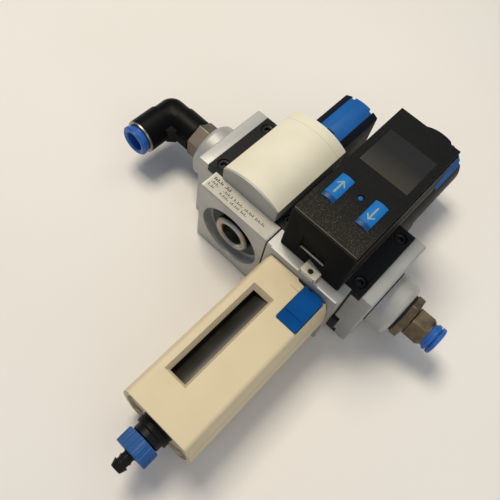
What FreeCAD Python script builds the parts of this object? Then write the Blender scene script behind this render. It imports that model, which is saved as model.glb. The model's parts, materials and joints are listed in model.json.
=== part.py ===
"""Service unit: an on-off valve module and a filter regulator module side by side, millimetres.

+X is the flow direction, +Y points from the filter bowl to the knobs, +Z out of the front.
The unit lies on its back: z = 0 is the back face, and the ports lie on the line y = 0.
"""
import FreeCAD
import Part
import math
import os

V = FreeCAD.Vector
os.makedirs("parts", exist_ok=True)

# ---- driving dimensions -------------------------------------------------------------------
MODULE_W = 40.0            # grid width of one module
MODULE_GAP = 0.8           # thickness of the webs at the joints
DEPTH = 45.3               # back face to front face of a module
BODY_LOW = 30.4            # port line down to the bowl-side face
FOOT_TOP = 20.85           # port line down to the upper edge of the valve's foot
BODY_HIGH = 21.0           # port line up to the top of the regulator casting
EDGE_R = 1.0               # rounded edges of the castings
RUN = 0.05                 # running clearance, radial
GAP = 0.3                  # free clearance between separate moving pieces
SEAT = 0.05                # clearance of pieces that are fitted and stay put

PORT_R = 7.0               # flow channel between the modules
FRAME_REACH = 4.15         # connector frame laid over the edge of a module
FRAME_OVER = 5.2           # the same over the edge of a port plate
FRAME_BAR = 4.0            # thickness of the frame's front and back bars
FRAME_HALF = 20.5          # half height of the connector frame and the port plates
SCREW_Y = 15.0             # connector screws above and below the port line
SCREW_HEAD_R = 3.0
SCREW_HEAD_H = 2.6
SCREW_R = 1.6
SCREW_LEN = 12.0

PLATE_T = 6.3              # port plate outside the frame
DOME_R = 14.4              # boss on the port plate
DOME_LEN = 11.0
DOME_ROUND = 3.0
SEAL_T = 1.2               # seal washers under the hexagons
SEAL_WALL = 1.4            # flat seals round the channel

COVER_T = 1.6              # cream valve cover
COVER_LOW = 19.8           # port line down to the cover's lower end
COVER_HIGH = 27.7
COVER_SIDE = 7.5           # height of the cover's long edges above the front face
COVER_CROWN = 12.3
END_WALL = 1.0             # casting's crescent in front of the cover's lower edge
LABEL_T = 0.25

VALVE_KNOB_R = 20.0
VALVE_KNOB_HALF = 10.4     # flats on both sides
VALVE_KNOB_LEN = 39.6
REG_KNOB_R = 18.6
REG_KNOB_LEN = 43.9
KNOB_ROUND = 1.2
KNOB_END_T = 7.8           # solid end of a knob above its stem
LOCK_W = 13.6              # blue locking slides
LOCK_T = 2.6
LOCK_NICK = 2.2
LOCK_TRAVEL = 8.0
REG_LOCK_ANGLE = 40.0      # where the regulator's slide stands, from +Z towards +X
REG_LOCK_LEN = 24.0
REG_LOCK_T = 2.2

BONNET_IN = 0.6            # bonnet's collar set in from the module's sides
BONNET_H = 19.4
SPRING_TUBE_R = 15.0       # bonnet tube that holds the regulating spring
SPRING_TUBE_WALL = 2.4
SPRING_TUBE_LEN = 35.6
TUBE_SEAT = 4.0            # tube screwed into the bonnet's collar
SPINDLE_R = 4.0
SPINDLE_BELOW = 8.0        # thread below the spring seat at rest
SPINDLE_COLLAR = 3.0
SPRING_SEAT_DROP = 15.6    # under the tube's end wall at rest
SPRING_SEAT_T = 4.0
SPRING_WIRE = 2.4
SPRING_R = 9.0
DIAPHRAGM_DROP = 3.0       # diaphragm below the top of the casting
DIAPHRAGM_T = 1.2
DIAPHRAGM_R = 17.0
DISC_T = 1.5               # metal disc on the diaphragm

SPOOL_R = 8.0              # on-off valve
SPOOL_TRAVEL = 4.0
SPOOL_LAND = 8.0
BUSH_T = 4.0               # bush of the valve's stem
STEM_R = 4.0
STEM_REACH = 6.0
DISH_R = 16.9              # recess round the exhaust port
DISH_DEPTH = 5.0
EXHAUST_R = 6.2
EXHAUST_RING_R = 9.9
EXHAUST_SETBACK = 1.0
EXHAUST_LEN = 9.4
EXHAUST_ROUND = 0.8

BOWL_R = 13.9
BOWL_WALL = 1.8
BOWL_LEN = 77.3
BOWL_NECK_R = 13.7
BOWL_SEAL_H = 1.6
BOWL_SEAL_DROP = 1.0
BOWL_ROUND = 3.0
SEAL_BED = 0.8             # depth of the seal's groove
NECK_BLEND = 4.0           # bowl's wall thickened below its neck
CAVITY_DEPTH = 12.0        # bowl cavity in the regulator casting
GUARD_HALF_W = 19.2
GUARD_HALF_D = 17.65
GUARD_FLAT = 15.5          # half width of the guard's flat front
GUARD_BELOW = 5.4          # guard below the bowl's bottom
GUARD_WALL = 2.2
GUARD_FRONT_WALL = 3.5
GUARD_ROUND = 2.0
GUARD_NECK_R = 16.4
GUARD_NECK_WALL = 1.5
GUARD_NECK_LEN = 8.0       # bayonet neck inside the casting
RIM_DEPTH = 1.6
LUG_REACH = 1.2
LUG_H = 2.2
LUG_ANGLE = 30.0
BAYONET_TURN = 40.0
SIGHT_X = -12.0            # sight window in the guard, from the bowl's axis
SIGHT_W = 11.4
SIGHT_DROP = 15.0
SIGHT_LEN = 51.7
SIGHT_BEVEL = 1.8
RELEASE_X = 4.7            # blue release slide, from the bowl's axis
RELEASE_W = 10.6
RELEASE_DROP = 0.2
RELEASE_LEN = 20.0
RELEASE_T = 2.3
RELEASE_PROUD = 0.6
RELEASE_TRAVEL = 4.0
RELEASE_LIP_GAP = 0.1      # under the thin lip that covers the rest of the slide's pocket
NAIL_GROOVE = (0.6, 0.4)   # width and depth of the groove across the slide

SEAT_R = 3.5               # regulator valve seat
SEAT_T = 1.5
CHAMBER_R = 8.0
CHAMBER_LOW = -7.5         # outlet chamber between seat and diaphragm
POPPET_PIN_R = 1.2
POPPET_T = 2.5
POPPET_LIP = 1.8
POPPET_SPRING = (4.9, 3.5)  # outer and inner radius of the poppet's slotted spring
SPRING_RINGS = 4
SPRING_RING_T = 0.5
SPRING_BRIDGE = 1.4
FILTER_R = 10.0
FILTER_LEN = 42.0
FILTER_DROP = 5.5          # casting's lower face down to the filter element
RETAINER_R = 6.7
RETAINER_RISE = 14.4       # casting's lower face up to the top of the filter's tube
RETAINER_FOOT = 2.5
RETAINER_WALL = 1.0
RETAINER_ROOF = 1.5
RETAINER_HOLE_R = 2.0
FILTER_HOLES = 4
FILTER_HOLE_R = 1.8
BAFFLE_RISE = 0.5          # above the filter element
BAFFLE_T = 2.0
VANES = 10
VANE_H = 3.0
VANE_T = 1.0
VANE_ROOT = 1.5            # vane sunk into the baffle's ring
VANE_SLANT = 25.0

DRAIN_NECK_R = 7.8
DRAIN_NECK_LEN = 8.4
DRAIN_WAIST_R = 6.6
DRAIN_SPIGOT_R = 5.2
SPIGOT_R = 4.0
SPIGOT_H = 6.0
DRAIN_NUT_R = 7.95
DRAIN_NUT_DROP = 11.9      # bowl's bottom down to the nut
DRAIN_NUT_LEN = 7.3
DRAIN_NUT_FLOOR = 2.0
NUT_RIBS = 16
DRAIN_STEM_R = 3.1
DRAIN_BORE_R = 1.4
DRAIN_TAIL = 7.6           # stem below the nut
BARB_LOW_R = 2.6
BARB_HIGH_R = 3.4
BARB_LEN = 3.2

ELBOW_LEG = 28.05          # inlet boss out to the centre line of the elbow's mouth
ELBOW_R = 8.3
ELBOW_COLLAR_R = 8.95
ELBOW_COLLAR = 12.2        # collar round the swivel
MOUTH_COLLAR = 14.2        # collar round the elbow's mouth
MOUTH_END = 21.4
ELBOW_BORE_R = 4.0
STUD_HEX_T = 7.0
STUD_BORE_R = 3.5
SWIVEL_LEN = 11.3
SWIVEL_R = 5.5
CARTRIDGE_DEPTH = 13.0
CARTRIDGE_WALL = 2.2
CLAMP_T = 1.0
GRIP_DEPTH = 7.7
GRIP_T = 0.8
LIP_T = 2.0
RELEASE_PLAY = 1.5
RELEASE_SLEEVE = 5.5
INLET_TUBE_R = 5.0         # push-in tubes
OUTLET_TUBE_R = 4.0
INLET_RIM = (8.1, 2.6)     # radius and thickness of the release rings' flanges
OUTLET_RIM = (6.95, 4.2)
INLET_HEX_AF = 17.0
INLET_THREAD_R = 6.5
REDUCER_HEX_AF = 19.0
REDUCER_HEX_T = 3.8
REDUCER_THREAD_R = 8.3
OUTLET_HEX_AF = 14.4
OUTLET_HEX_T = 7.5
OUTLET_NECK = 0.8
OUTLET_LIP = 1.2
OUTLET_BORE_R = 3.0

SENSOR_W = 32.4            # pressure sensor housing
SENSOR_LEN = 72.6
SENSOR_LOW = 26.0
SENSOR_RISE = 31.0         # its face above the module's front face
SENSOR_SKIRT = 0.6         # free height of its side walls above the module
SENSOR_WALL = 1.8
SENSOR_ROUND = 0.8
FACE_T = 2.0
FACE_STEP = 0.5            # face plate set in from the case on each side
SENSOR_PLATE_T = 3.0
BUTTON_W = 5.1
BUTTON_LEN = 12.8
BUTTON_X = (-11.6, 5.5)    # from the module's centre line
BUTTON_RISE = 12.4         # above the sensor's lower end
BUTTON_PROUD = 1.2
BUTTON_TRAVEL = 0.6
BUTTON_FLANGE = 0.8
EDIT_R = 1.2
EDIT_RISE = 22.4
EDIT_FLANGE = 1.2
SCREEN_W = 24.6
SCREEN_LEN = 22.4
SCREEN_DROP = 13.0         # below the sensor's upper end
SCREEN_T = 1.5
SCREEN_SINK = 0.15
BOARD_T = 1.6
BOARD_DROP = 8.3
SWITCH_H = 1.0
POST_R = 2.0
RECESS_X = (-7.6, 5.6)     # shallow recess in the sensor's lower end
RECESS_RISE = 4.0
RECESS_H = 8.5
RECESS_DEPTH = 1.0
TAB_X = (-1.5, 6.8)        # screw tab of the sensor's plate
TAB_HOLE_R = 1.35
TAB_HOLE_IN = 2.4

# ---- derived places -------------------------------------------------------------------------
AXIS_Z = DEPTH / 2                         # ports, knobs and bowl share this height
VALVE_X = -MODULE_W / 2
REG_X = MODULE_W / 2
WEB_OUT = MODULE_W + MODULE_GAP            # web between a module and its port plate
FRAME_OUT = MODULE_W + FRAME_OVER
PLATE_OUT = FRAME_OUT + PLATE_T
DOME_END = PLATE_OUT + DOME_LEN
VALVE_KNOB_START = COVER_HIGH + GAP
VALVE_KNOB_END = VALVE_KNOB_START + VALVE_KNOB_LEN
SPOOL_LOW = -BODY_LOW + EXHAUST_SETBACK + EXHAUST_LEN    # lower end of the spool's bore
SPOOL_HIGH = COVER_HIGH - BUSH_T                         # upper end, below the stem's bush
BONNET_R = MODULE_W / 2 - BONNET_IN
BONNET_TOP = BODY_HIGH + BONNET_H
REG_KNOB_START = BONNET_TOP + GAP
REG_KNOB_END = REG_KNOB_START + REG_KNOB_LEN
REG_LOCK_Y = (REG_KNOB_END - REG_LOCK_LEN, REG_KNOB_END)
SPRING_TUBE_TOP = BONNET_TOP + SPRING_TUBE_LEN
SPRING_TUBE_IN = SPRING_TUBE_R - SPRING_TUBE_WALL
SPRING_SEAT_Y = SPRING_TUBE_TOP - SPRING_TUBE_WALL - SPRING_SEAT_DROP
DIAPHRAGM_Y = BODY_HIGH - DIAPHRAGM_DROP
CAVITY_TOP = -BODY_LOW + CAVITY_DEPTH
GUARD_TOP = -BODY_LOW - GAP
BOWL_END = GUARD_TOP - BOWL_LEN
GUARD_END = BOWL_END - GUARD_BELOW
GUARD_LEN = GUARD_TOP - GUARD_END
GUARD_FRONT = AXIS_Z + GUARD_HALF_D
GUARD_NECK_TOP = -BODY_LOW + GUARD_NECK_LEN
NECK_STEP = GUARD_NECK_TOP + 8 * SEAT
BOWL_NECK_TOP = CAVITY_TOP - 2 * GAP
SEAL_Y = BOWL_NECK_TOP - BOWL_SEAL_DROP - BOWL_SEAL_H
RETAINER_TOP = -BODY_LOW + RETAINER_RISE
FILTER_TOP = -BODY_LOW - FILTER_DROP
FILTER_LOW = FILTER_TOP - FILTER_LEN
POPPET_TOP = CHAMBER_LOW - SEAT_T - GAP
DRAIN_NUT_TOP = BOWL_END - DRAIN_NUT_DROP
DRAIN_NUT_LOW = DRAIN_NUT_TOP - DRAIN_NUT_LEN
DRAIN_END = DRAIN_NUT_LOW - DRAIN_TAIL
STUD_HEX_IN = DOME_END + SEAL_T
ELBOW_X = DOME_END + ELBOW_LEG
ELBOW_START = STUD_HEX_IN + STUD_HEX_T + GAP
STUD_END = STUD_HEX_IN + STUD_HEX_T + SWIVEL_LEN
REDUCER_HEX = (DOME_END + SEAL_T, DOME_END + SEAL_T + REDUCER_HEX_T)
OUTLET_HEX = (REDUCER_HEX[1] + OUTLET_NECK, REDUCER_HEX[1] + OUTLET_NECK + OUTLET_HEX_T)
OUTLET_END = OUTLET_HEX[1] + OUTLET_LIP
SENSOR_X = (REG_X - SENSOR_W / 2, REG_X + SENSOR_W / 2)
SENSOR_Y = (-SENSOR_LOW, SENSOR_LEN - SENSOR_LOW)
SCREEN_X = (REG_X - SCREEN_W / 2, REG_X + SCREEN_W / 2)
SCREEN_Y = (SENSOR_Y[1] - SCREEN_DROP - SCREEN_LEN, SENSOR_Y[1] - SCREEN_DROP)
BUTTON_Y = (SENSOR_Y[0] + BUTTON_RISE, SENSOR_Y[0] + BUTTON_RISE + BUTTON_LEN)
EDIT_Y = SENSOR_Y[0] + EDIT_RISE
FACE_Z = DEPTH + SENSOR_RISE
CASE_FLOOR = DEPTH + SENSOR_PLATE_T + SEAT
CASE_TOP = FACE_Z - FACE_T
BOARD_Z = CASE_TOP - BOARD_DROP
SWITCH_Z = BOARD_Z + BOARD_T + SWITCH_H
TAB_HOLE = (REG_X + sum(TAB_X) / 2, -BODY_LOW + TAB_HOLE_IN)


# ---- small helpers --------------------------------------------------------------------------
def box(x0, x1, y0, y1, z0, z1):
    """Box between two corners."""
    return Part.makeBox(x1 - x0, y1 - y0, z1 - z0, V(x0, y0, z0))


def rod_x(x0, x1, r, y=0.0, z=AXIS_Z):
    """Cylinder along X."""
    return Part.makeCylinder(r, x1 - x0, V(x0, y, z), V(1, 0, 0))


def rod_y(y0, y1, r, x, z=AXIS_Z):
    """Cylinder along Y."""
    return Part.makeCylinder(r, y1 - y0, V(x, y0, z), V(0, 1, 0))


def rod_z(z0, z1, r, x, y):
    """Cylinder along Z."""
    return Part.makeCylinder(r, z1 - z0, V(x, y, z0), V(0, 0, 1))


def ring_x(x0, x1, r_out, r_in):
    """Ring round the port line."""
    return rod_x(x0, x1, r_out).cut(rod_x(x0 - 1, x1 + 1, r_in))


def ring_y(y0, y1, r_out, r_in, x, z=AXIS_Z):
    """Ring round a vertical line of a module."""
    return rod_y(y0, y1, r_out, x, z).cut(rod_y(y0 - 1, y1 + 1, r_in, x, z))


def hex_x(x0, x1, across_flats, turn):
    """Hexagon along the port line, its first corner turned from +Z by an angle in degrees."""
    corner = across_flats / math.sqrt(3)
    angles = [math.radians(turn + 60 * i) for i in range(7)]
    points = [V(x0, corner * math.sin(a), AXIS_Z + corner * math.cos(a)) for a in angles]
    return Part.Face(Part.makePolygon(points)).extrude(V(x1 - x0, 0, 0))


def edges_where(shape, test):
    """Edges whose bounding box passes the test."""
    return [e for e in shape.Edges if test(e.BoundBox)]


def round_edges(shape, radius, test):
    """Rounds the chosen edges of a shape."""
    chosen = edges_where(shape, test)
    return shape.makeFillet(radius, chosen)


def fuse(first, *others):
    """One solid from several that meet."""
    return first.multiFuse(list(others)).removeSplitter()


def cut(shape, *tools):
    """A shape less several others."""
    return shape.cut(list(tools))


def spring(y0, y1, r, wire, x):
    """Helical compression spring along Y whose ends lie inside y0 to y1."""
    height = y1 - y0 - wire
    turns = round(height / (2.2 * wire))
    helix = Part.makeHelix(height / turns, height, r)
    start = Part.Wire(Part.makeCircle(wire / 2, V(r, 0, 0), V(0, 1, 0)))
    coil = Part.Wire(helix).makePipeShell([start], True, True)
    coil.rotate(V(0, 0, 0), V(1, 0, 0), -90)
    coil.translate(V(x, y0 + wire / 2, AXIS_Z))
    return coil


def slotted_spring(y0, y1):
    """Flat rings on the bowl's axis, joined in turn by bridges at the sides and at front and back."""
    r_out, r_in = POPPET_SPRING
    whole = ring_y(y0, y1, r_out, r_in, REG_X)
    pitch = (y1 - y0 - SPRING_RING_T) / (SPRING_RINGS - 1)
    half = SPRING_BRIDGE / 2
    for i in range(SPRING_RINGS - 1):
        low, high = y0 + i * pitch + SPRING_RING_T, y0 + (i + 1) * pitch
        gap = box(REG_X - r_out - 1, REG_X + r_out + 1, low, high, AXIS_Z - r_out - 1, AXIS_Z + r_out + 1)
        along_x = box(REG_X - r_out - 1, REG_X + r_out + 1, low, high, AXIS_Z - half, AXIS_Z + half)
        along_z = box(REG_X - half, REG_X + half, low, high, AXIS_Z - r_out - 1, AXIS_Z + r_out + 1)
        whole = whole.cut(gap.cut(along_z if i % 2 else along_x))
    return whole


def save(name, shape):
    """Writes one piece to its file."""
    assert shape.isValid(), name
    shape.exportStep("parts/" + name + ".step")
    FreeCAD.Console.PrintMessage("%s %d solids %.0f mm3\n" % (name, len(shape.Solids), shape.Volume))


# ---- modules and what joins them --------------------------------------------------------------
def frame_bars(x0, x1, y_top, grow):
    """Front and back bars of a connector frame between two X, grown by a margin."""
    front = box(x0 - grow, x1 + grow, -FRAME_HALF - grow, y_top, DEPTH - FRAME_BAR - grow, DEPTH)
    back = box(x0 - grow, x1 + grow, -FRAME_HALF - grow, y_top, 0, FRAME_BAR + grow)
    return front, back


def screw_x(side):
    """X of the connector screws at a joint: 0 between the modules, else by the port plates."""
    return side * (MODULE_W + (FRAME_OVER - FRAME_REACH) / 2)


def module_block(centre, y_top):
    """Plain module casting, cut back where the connector frames and their screws lie."""
    outer = math.copysign(MODULE_W, centre)
    inner = math.copysign(MODULE_GAP / 2, centre)
    block = box(min(outer, inner), max(outer, inner), -BODY_LOW, y_top, 0, DEPTH)
    block = round_edges(block, EDGE_R, lambda b: b.YLength < 0.1 and b.ZLength < 0.1)
    for line in (0.0, outer):
        block = cut(block, *frame_bars(line - FRAME_REACH, line + FRAME_REACH, y_top + 1, SEAT))
    for side in (0, math.copysign(1, centre)):
        for y in (-SCREW_Y, SCREW_Y):
            relief = rod_z(DEPTH - SCREW_LEN - 1, DEPTH, SCREW_R + 2 * GAP, screw_x(side), y)
            block = cut(block, relief)
    return block


def arch_block(x0, x1, y0, y1, side, crown):
    """Block on the front face whose top is an arc across X."""
    low = DEPTH - EDGE_R
    corner_0, corner_1 = V(x0, y0, DEPTH + side), V(x1, y0, DEPTH + side)
    top = Part.Arc(corner_0, V((x0 + x1) / 2, y0, DEPTH + crown), corner_1).toShape()
    rest = Part.makePolygon([corner_1, V(x1, y0, low), V(x0, y0, low), corner_0])
    return Part.Face(Part.Wire([top] + rest.Edges)).extrude(V(0, y1 - y0, 0))


def connector_frame(side):
    """Black frame between a module and its port plate: a thin web with bars front and back."""
    web = box(MODULE_W, WEB_OUT, -FRAME_HALF, FRAME_HALF, 0, DEPTH)
    frame = fuse(web, *frame_bars(MODULE_W - FRAME_REACH, FRAME_OUT, FRAME_HALF, 0))
    frame = cut(frame, rod_x(0, FRAME_OUT, PORT_R + SEAL_WALL + SEAT))
    for y in (-SCREW_Y, SCREW_Y):
        frame = cut(frame, *screw_room(screw_x(1), y))
    return frame if side > 0 else frame.mirror(V(0, 0, 0), V(1, 0, 0))


def screw_room(x, y):
    """Hole and head recess for a connector screw."""
    hole = rod_z(DEPTH - SCREW_LEN - 1, DEPTH + 1, SCREW_R + SEAT, x, y)
    recess = rod_z(DEPTH - SCREW_HEAD_H - GAP, DEPTH + 1, SCREW_HEAD_R + SEAT, x, y)
    return hole, recess


def connector_screws(side):
    """Two socket screws set into the front bar of a connector frame."""
    screws = []
    for y in (-SCREW_Y, SCREW_Y):
        head_top = DEPTH - GAP
        x = screw_x(side)
        head = rod_z(head_top - SCREW_HEAD_H, head_top, SCREW_HEAD_R, x, y)
        shank = rod_z(DEPTH - SCREW_LEN, head_top - SCREW_HEAD_H, SCREW_R, x, y)
        socket = rod_z(head_top - SCREW_HEAD_H / 2, head_top + 1, SCREW_HEAD_R / 2, x, y)
        screws.append(cut(fuse(head, shank), socket))
    return Part.makeCompound(screws)


def module_connector_frame():
    """Frame on the joint between the two modules: a thin web with bars front and back."""
    web = box(-MODULE_GAP / 2, MODULE_GAP / 2, -FRAME_HALF, FRAME_HALF, 0, DEPTH)
    frame = fuse(web, *frame_bars(-FRAME_REACH, FRAME_REACH, FRAME_HALF, 0))
    frame = cut(frame, rod_x(-1, 1, PORT_R + SEAL_WALL + SEAT))
    for y in (-SCREW_Y, SCREW_Y):
        frame = cut(frame, *screw_room(0, y))
    return frame


def channel_seals():
    """Three flat seals round the flow channel, one at each joint of the unit."""
    spans = [(-WEB_OUT, -MODULE_W), (-MODULE_GAP / 2, MODULE_GAP / 2), (MODULE_W, WEB_OUT)]
    return Part.makeCompound([ring_x(x0, x1, PORT_R + SEAL_WALL, PORT_R + GAP) for x0, x1 in spans])


def port_plate(side, bore_r):
    """End plate that reaches in between the frame's bars, with a round boss for a fitting."""
    plate = box(FRAME_OUT, PLATE_OUT, -FRAME_HALF, FRAME_HALF, 0, DEPTH)
    plate = round_edges(plate, EDGE_R, lambda b: b.XMin > PLATE_OUT - 0.1)
    tongue = box(WEB_OUT, FRAME_OUT + 1, -FRAME_HALF, FRAME_HALF, FRAME_BAR + SEAT,
                 DEPTH - FRAME_BAR - SEAT)
    dome = rod_x(PLATE_OUT - 1, DOME_END, DOME_R)
    dome = round_edges(dome, DOME_ROUND, lambda b: b.XMin > DOME_END - 0.1)
    thread = rod_x(PLATE_OUT - 2, DOME_END + 1, bore_r)
    plate = cut(fuse(plate, tongue, dome), rod_x(0, PLATE_OUT - 1, PORT_R), thread)
    for y in (-SCREW_Y, SCREW_Y):
        relief = rod_z(DEPTH - SCREW_LEN - 1, DEPTH - FRAME_BAR, SCREW_R + 2 * GAP, screw_x(1), y)
        plate = cut(plate, relief)
    return plate if side > 0 else plate.mirror(V(0, 0, 0), V(1, 0, 0))


# ---- on-off valve ---------------------------------------------------------------------------
def valve_body():
    """Valve casting with the flow channel, the spool's bore and the exhaust port's dish."""
    body = module_block(VALVE_X, COVER_HIGH - COVER_T)
    x0, x1 = -MODULE_W + FRAME_REACH + COVER_T, -FRAME_REACH - COVER_T
    top = arch_block(x0, x1, -COVER_LOW, COVER_HIGH - COVER_T, COVER_SIDE - COVER_T,
                     COVER_CROWN - COVER_T)
    end_x0, end_x1 = -MODULE_W + FRAME_REACH, -FRAME_REACH
    dish = rod_y(-BODY_LOW - 1, -BODY_LOW + DISH_DEPTH, DISH_R, VALVE_X)
    ring_bed = rod_y(-BODY_LOW, SPOOL_LOW, EXHAUST_RING_R + SEAT, VALVE_X)
    spool_bore = rod_y(SPOOL_LOW - 1, SPOOL_HIGH, SPOOL_R + RUN, VALVE_X)
    stem_bore = rod_y(SPOOL_HIGH - 1, COVER_HIGH + 1, STEM_R + RUN, VALVE_X)
    channel = rod_x(-MODULE_W - 1, 0, PORT_R)
    end_wall = arch_block(end_x0, end_x1, -COVER_LOW - END_WALL, -COVER_LOW, COVER_SIDE, COVER_CROWN)
    end_wall = end_wall.common(box(-MODULE_W, 0, -MODULE_W, MODULE_W, DEPTH - EDGE_R, 2 * DEPTH))
    return cut(fuse(body, top, end_wall), dish, ring_bed, spool_bore, stem_bore, channel)


def valve_cover():
    """Cream cover: an arched shell that closes the module's front and upper end."""
    x0, x1 = -MODULE_W + FRAME_REACH, -FRAME_REACH
    outer = arch_block(x0, x1, -COVER_LOW, COVER_HIGH, COVER_SIDE, COVER_CROWN)
    outer = outer.common(box(-MODULE_W, 0, -MODULE_W, MODULE_W, DEPTH, 2 * DEPTH))
    inner = arch_block(x0 + COVER_T - SEAT, x1 - COVER_T + SEAT, -COVER_LOW - 1,
                       COVER_HIGH - COVER_T + SEAT, COVER_SIDE - COVER_T + SEAT,
                       COVER_CROWN - COVER_T + SEAT)
    return outer.cut(inner)


def rating_plate():
    """Thin plate stuck on the front of the valve's foot."""
    return box(-MODULE_W + EDGE_R, -MODULE_GAP / 2 - GAP, -BODY_LOW + GAP, -FOOT_TOP - GAP, DEPTH,
               DEPTH + LABEL_T)


def exhaust_ring():
    """Nickel-plated thread insert of the exhaust port."""
    y0 = -BODY_LOW + EXHAUST_SETBACK
    ring = ring_y(y0, y0 + EXHAUST_LEN, EXHAUST_RING_R, EXHAUST_R, VALVE_X)
    return round_edges(ring, EXHAUST_ROUND, lambda b: b.YMax < y0 + 0.1)


def knob_blank(x, r, y0, y1, half=None):
    """Solid outer shape of a knob, with flats if it has them, and rounded at its free end."""
    blank = rod_y(y0, y1, r, x)
    if half:
        blank = blank.common(box(x - half, x + half, y0, y1, -DEPTH, 2 * DEPTH))
    return round_edges(blank, KNOB_ROUND, lambda b: b.YMin > y1 - 0.1)


def lock_slot(x, r, y0, y1, grow):
    """Straight slot in a knob's front for its locking slide."""
    half = LOCK_W / 2 + grow
    return box(x - half, x + half, y0, y1, AXIS_Z + r - LOCK_T - grow - 2, AXIS_Z + r + 1)


def lock_slide(x, r, y0, y1):
    """Blue locking slide: flush with the knob's round front, with nicked outer corners."""
    slide = lock_slot(x, r, y0, y1, 0).common(knob_blank(x, r, y0 - 5, y1))
    for side in (-1, 1):
        edge = x + side * LOCK_W / 2
        inner = edge - side * LOCK_NICK
        slide = cut(slide, box(min(edge, inner), max(edge, inner), y1 - LOCK_NICK, y1 + 1, 0,
                               AXIS_Z + r + 1))
    catch = box(x - LOCK_NICK, x + LOCK_NICK, y0 + LOCK_TRAVEL, y0 + LOCK_TRAVEL + 2 * LOCK_NICK,
                AXIS_Z + r - LOCK_T / 2, AXIS_Z + r + 1)
    return cut(slide, catch)


def valve_knob():
    """Black handle of the on-off valve, a round bar with two flats."""
    y1 = VALVE_KNOB_END
    knob = knob_blank(VALVE_X, VALVE_KNOB_R, VALVE_KNOB_START, y1, VALVE_KNOB_HALF)
    slot = lock_slot(VALVE_X, VALVE_KNOB_R, VALVE_KNOB_START - 1, y1 + 1, RUN)
    socket = rod_y(VALVE_KNOB_START - 1, y1 - KNOB_END_T, STEM_R + SEAT, VALVE_X)
    return cut(knob, slot, socket)


def valve_stem():
    """Stem that carries the knob and reaches down to the spool."""
    return rod_y(SPOOL_HIGH - STEM_REACH, VALVE_KNOB_END - KNOB_END_T, STEM_R, VALVE_X)


def valve_spool():
    """Spool with two lands that opens the channel or vents it through the exhaust port."""
    top = SPOOL_HIGH - STEM_REACH - GAP
    low = SPOOL_LOW + SPOOL_TRAVEL + GAP
    upper = rod_y(top - SPOOL_LAND, top, SPOOL_R, VALVE_X)
    lower = rod_y(low, low + SPOOL_LAND, SPOOL_R, VALVE_X)
    return fuse(upper, lower, rod_y(low, top, SPOOL_R / 2, VALVE_X))


# ---- filter regulator -----------------------------------------------------------------------
def bayonet_slots():
    """Entry slots that let the bowl guard's two lugs in after a turn."""
    slots = []
    for start in (0, 180):
        ring = ring_y(-BODY_LOW - 1, NECK_STEP - LUG_H - 1, GUARD_NECK_R + LUG_REACH + GAP,
                      GUARD_NECK_R - 1, REG_X)
        slots.append(ring.common(wedge(start + BAYONET_TURN, LUG_ANGLE + 4)))
    return slots


def wedge(angle, width):
    """Sector of space round the bowl's axis, centred on an angle from +X towards +Z."""
    far = 3 * MODULE_W
    half = math.radians(width / 2)
    mid = math.radians(angle)
    points = [V(REG_X, -BODY_LOW - 2, AXIS_Z)]
    for a in (mid - half, mid, mid + half):
        points.append(V(REG_X + far * math.cos(a), -BODY_LOW - 2, AXIS_Z + far * math.sin(a)))
    return Part.Face(Part.makePolygon(points + [points[0]])).extrude(V(0, MODULE_W, 0))


def regulator_body():
    """Regulator casting: flow channels, valve seat, diaphragm bed and the bowl's bayonet."""
    body = module_block(REG_X, BODY_HIGH)
    cavity = rod_y(-BODY_LOW - 1, NECK_STEP, GUARD_NECK_R + GAP, REG_X)
    neck_bore = rod_y(NECK_STEP - 1, CAVITY_TOP, BOWL_NECK_R + GAP, REG_X)
    lug_groove = rod_y(NECK_STEP - LUG_H - 3 * GAP, NECK_STEP, GUARD_NECK_R + LUG_REACH + GAP, REG_X)
    inlet = rod_x(-1, REG_X - CHAMBER_R - SEAT_T, PORT_R)
    down_r = SEAT_R - 2 * GAP
    down = rod_y(CAVITY_TOP - 1, 0, down_r, REG_X - BOWL_NECK_R + down_r + 1)
    centre = rod_y(CAVITY_TOP - 1, CHAMBER_LOW - SEAT_T, RETAINER_R + SEAT, REG_X)
    seat_hole = rod_y(CHAMBER_LOW - SEAT_T - 1, CHAMBER_LOW + 1, SEAT_R, REG_X)
    chamber = rod_y(CHAMBER_LOW, DIAPHRAGM_Y, CHAMBER_R, REG_X)
    under = rod_y(DIAPHRAGM_Y - DIAPHRAGM_DROP, DIAPHRAGM_Y, SPRING_TUBE_IN, REG_X)
    bed = rod_y(DIAPHRAGM_Y, BODY_HIGH + 1, DIAPHRAGM_R + SEAT, REG_X)
    outlet = rod_x(REG_X, MODULE_W + 1, PORT_R)
    return cut(body, cavity, neck_bore, lug_groove, inlet, down, centre, seat_hole, chamber, under,
               bed, outlet, *bayonet_slots())


def diaphragm():
    """Rubber disc clamped by the bonnet."""
    return rod_y(DIAPHRAGM_Y, DIAPHRAGM_Y + DIAPHRAGM_T, DIAPHRAGM_R, REG_X)


def diaphragm_plate():
    """Metal disc on the diaphragm under the regulating spring."""
    y0 = DIAPHRAGM_Y + DIAPHRAGM_T
    return rod_y(y0, y0 + DISC_T, SPRING_TUBE_IN - 1, REG_X)


def regulator_bonnet():
    """Black bonnet: a spigot on the diaphragm and a collar that carries the spring tube."""
    spigot = rod_y(DIAPHRAGM_Y + DIAPHRAGM_T, BODY_HIGH, DIAPHRAGM_R, REG_X)
    collar = rod_y(BODY_HIGH, BONNET_TOP, BONNET_R, REG_X)
    collar = round_edges(collar, EDGE_R, lambda b: b.YMin > BONNET_TOP - 0.1)
    hollow = rod_y(DIAPHRAGM_Y, BONNET_TOP + 1, SPRING_TUBE_IN, REG_X)
    seat = rod_y(BONNET_TOP - TUBE_SEAT, BONNET_TOP + 1, SPRING_TUBE_R + SEAT, REG_X)
    return cut(fuse(spigot, collar), hollow, seat)


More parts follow.
